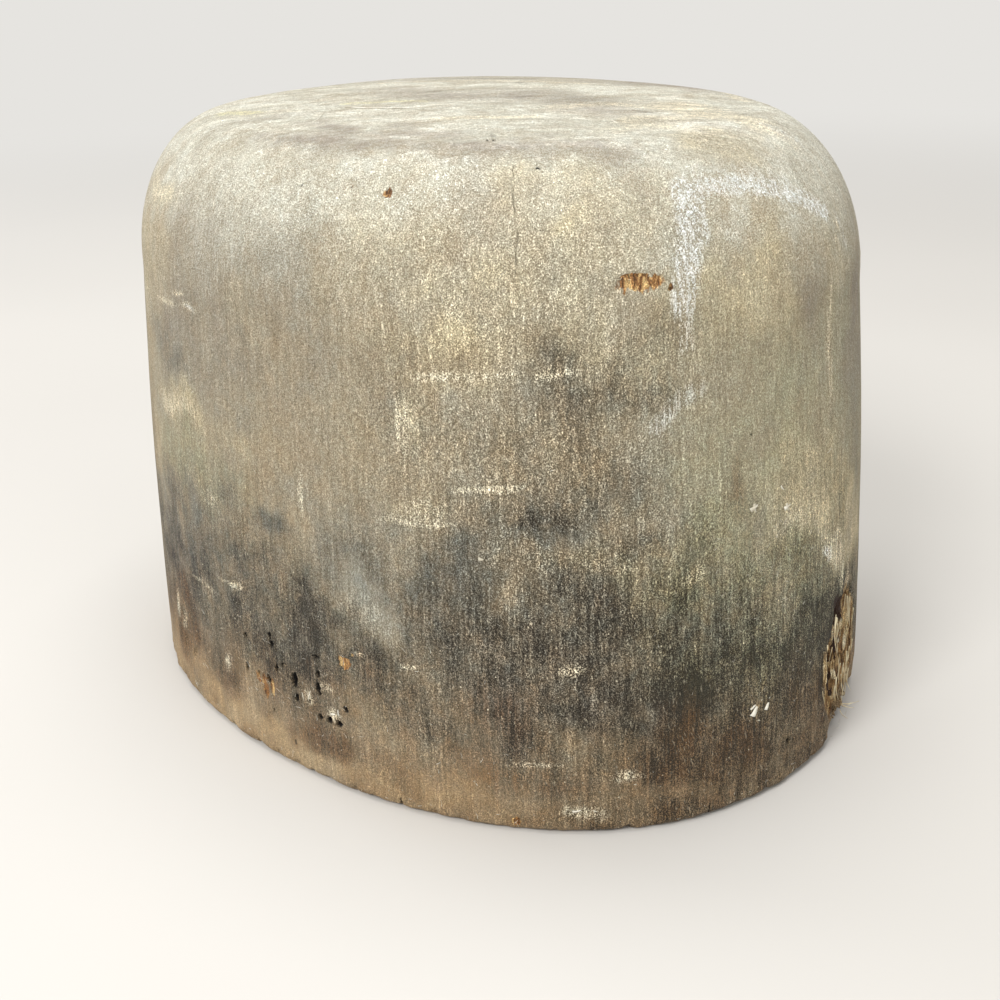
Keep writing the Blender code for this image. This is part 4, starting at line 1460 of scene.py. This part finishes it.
def crownSpot(x, y):
    # the place on the crown over x and y
    scale = np.full(len(x), 0.5)
    for unused in range(6):
        wide = y / (1 - block["frontNarrowing"] * x / scale / halfLength)
        scale = ((np.abs(x) / halfLength) ** block["ovalFullness"]
                 + (np.abs(wide) / halfWidth) ** block["ovalFullness"]) ** (1 / block["ovalFullness"])
        scale = np.maximum(scale, 0.02)
    inset = (1 - scale) * halfWidth
    height = np.interp(inset, climbInsets[-profileTail:], climbHeights[-profileTail:])
    return np.stack([x, y, height], -1)


def addFibre(builder, spotAt, start, length, width, lean, lift, thickness=1.0):
    # one tapered fibre that leaves the surface, bows and comes to a point
    first = len(builder.verts)
    bmesh.ops.create_cone(builder, cap_ends=True, segments=4, depth=length * mm,
                          radius1=width / 2 * mm, radius2=width / 8 * mm)
    builder.verts.ensure_lookup_table()
    made = builder.verts[first:]
    edges = dict.fromkeys(edge for vert in made for edge in vert.link_edges)
    long = [edge for edge in edges if abs(edge.verts[0].co.z - edge.verts[1].co.z) > 1e-6]
    bmesh.ops.subdivide_edges(builder, edges=long, cuts=3)
    builder.verts.ensure_lookup_table()
    made = builder.verts[first:]
    angle = math.radians(lean)
    for vert in made:
        share = max(vert.co.z / (length * mm) + 0.5, 0.0)
        sideways = vert.co.x + fibres["bow"] * length * mm * math.sin(share * math.pi)
        along = length * share * mm
        here = start[0] * mm + along * math.sin(angle) + sideways * math.cos(angle)
        above = start[1] * mm + along * math.cos(angle) - sideways * math.sin(angle)
        step = 0.5 * mm
        spot, beside, higher = (Vector(place) for place in spotAt(
            np.array([here, here + step, here]), np.array([above, above, above + step]),
        ))
        normal = (beside - spot).cross(higher - spot).normalized()
        stand = (lift * share**1.5 - fibres["rootSunk"]) * mm
        vert.co = spot + normal * (vert.co.y * thickness + stand)
        vert.co.z = min(max(vert.co.z, fibres["rootSunk"] * mm), blockHigh.z)


def buildFibres(splinterWood, lint):
    dice = np.random.default_rng(fibres["seed"])
    splinters = bmesh.new()
    for start, *numbers in fibres["splinters"].values():
        addFibre(splinters, rolledUp, start, *numbers)
    thatch = fibres["thatch"]
    for unused in range(thatch["count"]):
        turn = dice.uniform(0, 2 * math.pi)
        reach = math.sqrt(dice.uniform(0, thatch["fill"]))
        start = (
            tear["across"] + tear["halfWidth"] * thatch["wide"] * reach * math.cos(turn),
            tear["up"] + thatch["raise"] + tear["halfHeight"] * thatch["high"] * reach * math.sin(turn),
        )
        addFibre(splinters, rolledUp, start,
                 dice.uniform(*thatch["length"]), dice.uniform(*thatch["width"]),
                 dice.normal(*thatch["lean"]), dice.uniform(*thatch["lift"]))
    addPiece("torn_splinters", splinters, splinterWood)
    hairs = bmesh.new()
    hair = fibres["hairs"]
    for start, *numbers in fibres["flakes"].values():
        addFibre(hairs, rolledUp, start, *numbers, fibres["flakeThickness"])
    for left, right, bottom, top, count in fibres["hairFields"].values():
        for unused in range(count):
            start = (dice.uniform(left, right), dice.uniform(bottom, top))
            addFibre(hairs, rolledUp, start, dice.uniform(*hair["length"]), hair["width"],
                     dice.normal(*hair["lean"]), dice.uniform(*hair["lift"]))
    for start, *numbers in fibres["crownStreaks"].values():
        addFibre(hairs, crownSpot, start, *numbers, fibres["streakThickness"])
    streaks = fibres["looseStreaks"]
    for unused in range(streaks["count"]):
        start = (dice.uniform(*streaks["x"]), dice.uniform(*streaks["y"]))
        addFibre(hairs, crownSpot, start,
                 dice.uniform(*streaks["length"]), dice.uniform(*streaks["width"]),
                 dice.normal(*streaks["lean"]), streaks["lift"], fibres["streakThickness"])
    addPiece("loose_hairs", hairs, lint)


def makeFibreWood(name, kind):
    # Torn or scraped lime fibres, matte and clean against the grimed side, browner in places
    material, tree, shader = newMaterial(name, 0.75)
    place = addNode(tree, "TexCoord", out="Object")
    scale = 1 / (fibres["mottle"] * mm)
    grain = addNode(tree, "TexNoise", {"Vector": place, "Scale": scale, "Detail": 2.0})
    share = addNode(tree, "MapRange", {0: grain, 1: 0.35, 2: 0.6})
    dark = linearColour(fibres["colours"][kind + "Dark"])
    pale = linearColour(fibres["colours"][kind + "Pale"])
    tone = addNode(tree, "Mix", {0: share, 6: dark, 7: pale}, **rgba)
    tree.links.new(tone, shader.inputs["Base Color"])
    return material


buildFibres(makeFibreWood("tornLimeFibre", "torn"), makeFibreWood("dustyLimeLint", "lint"))
print("Splinters, flakes and hairs built")
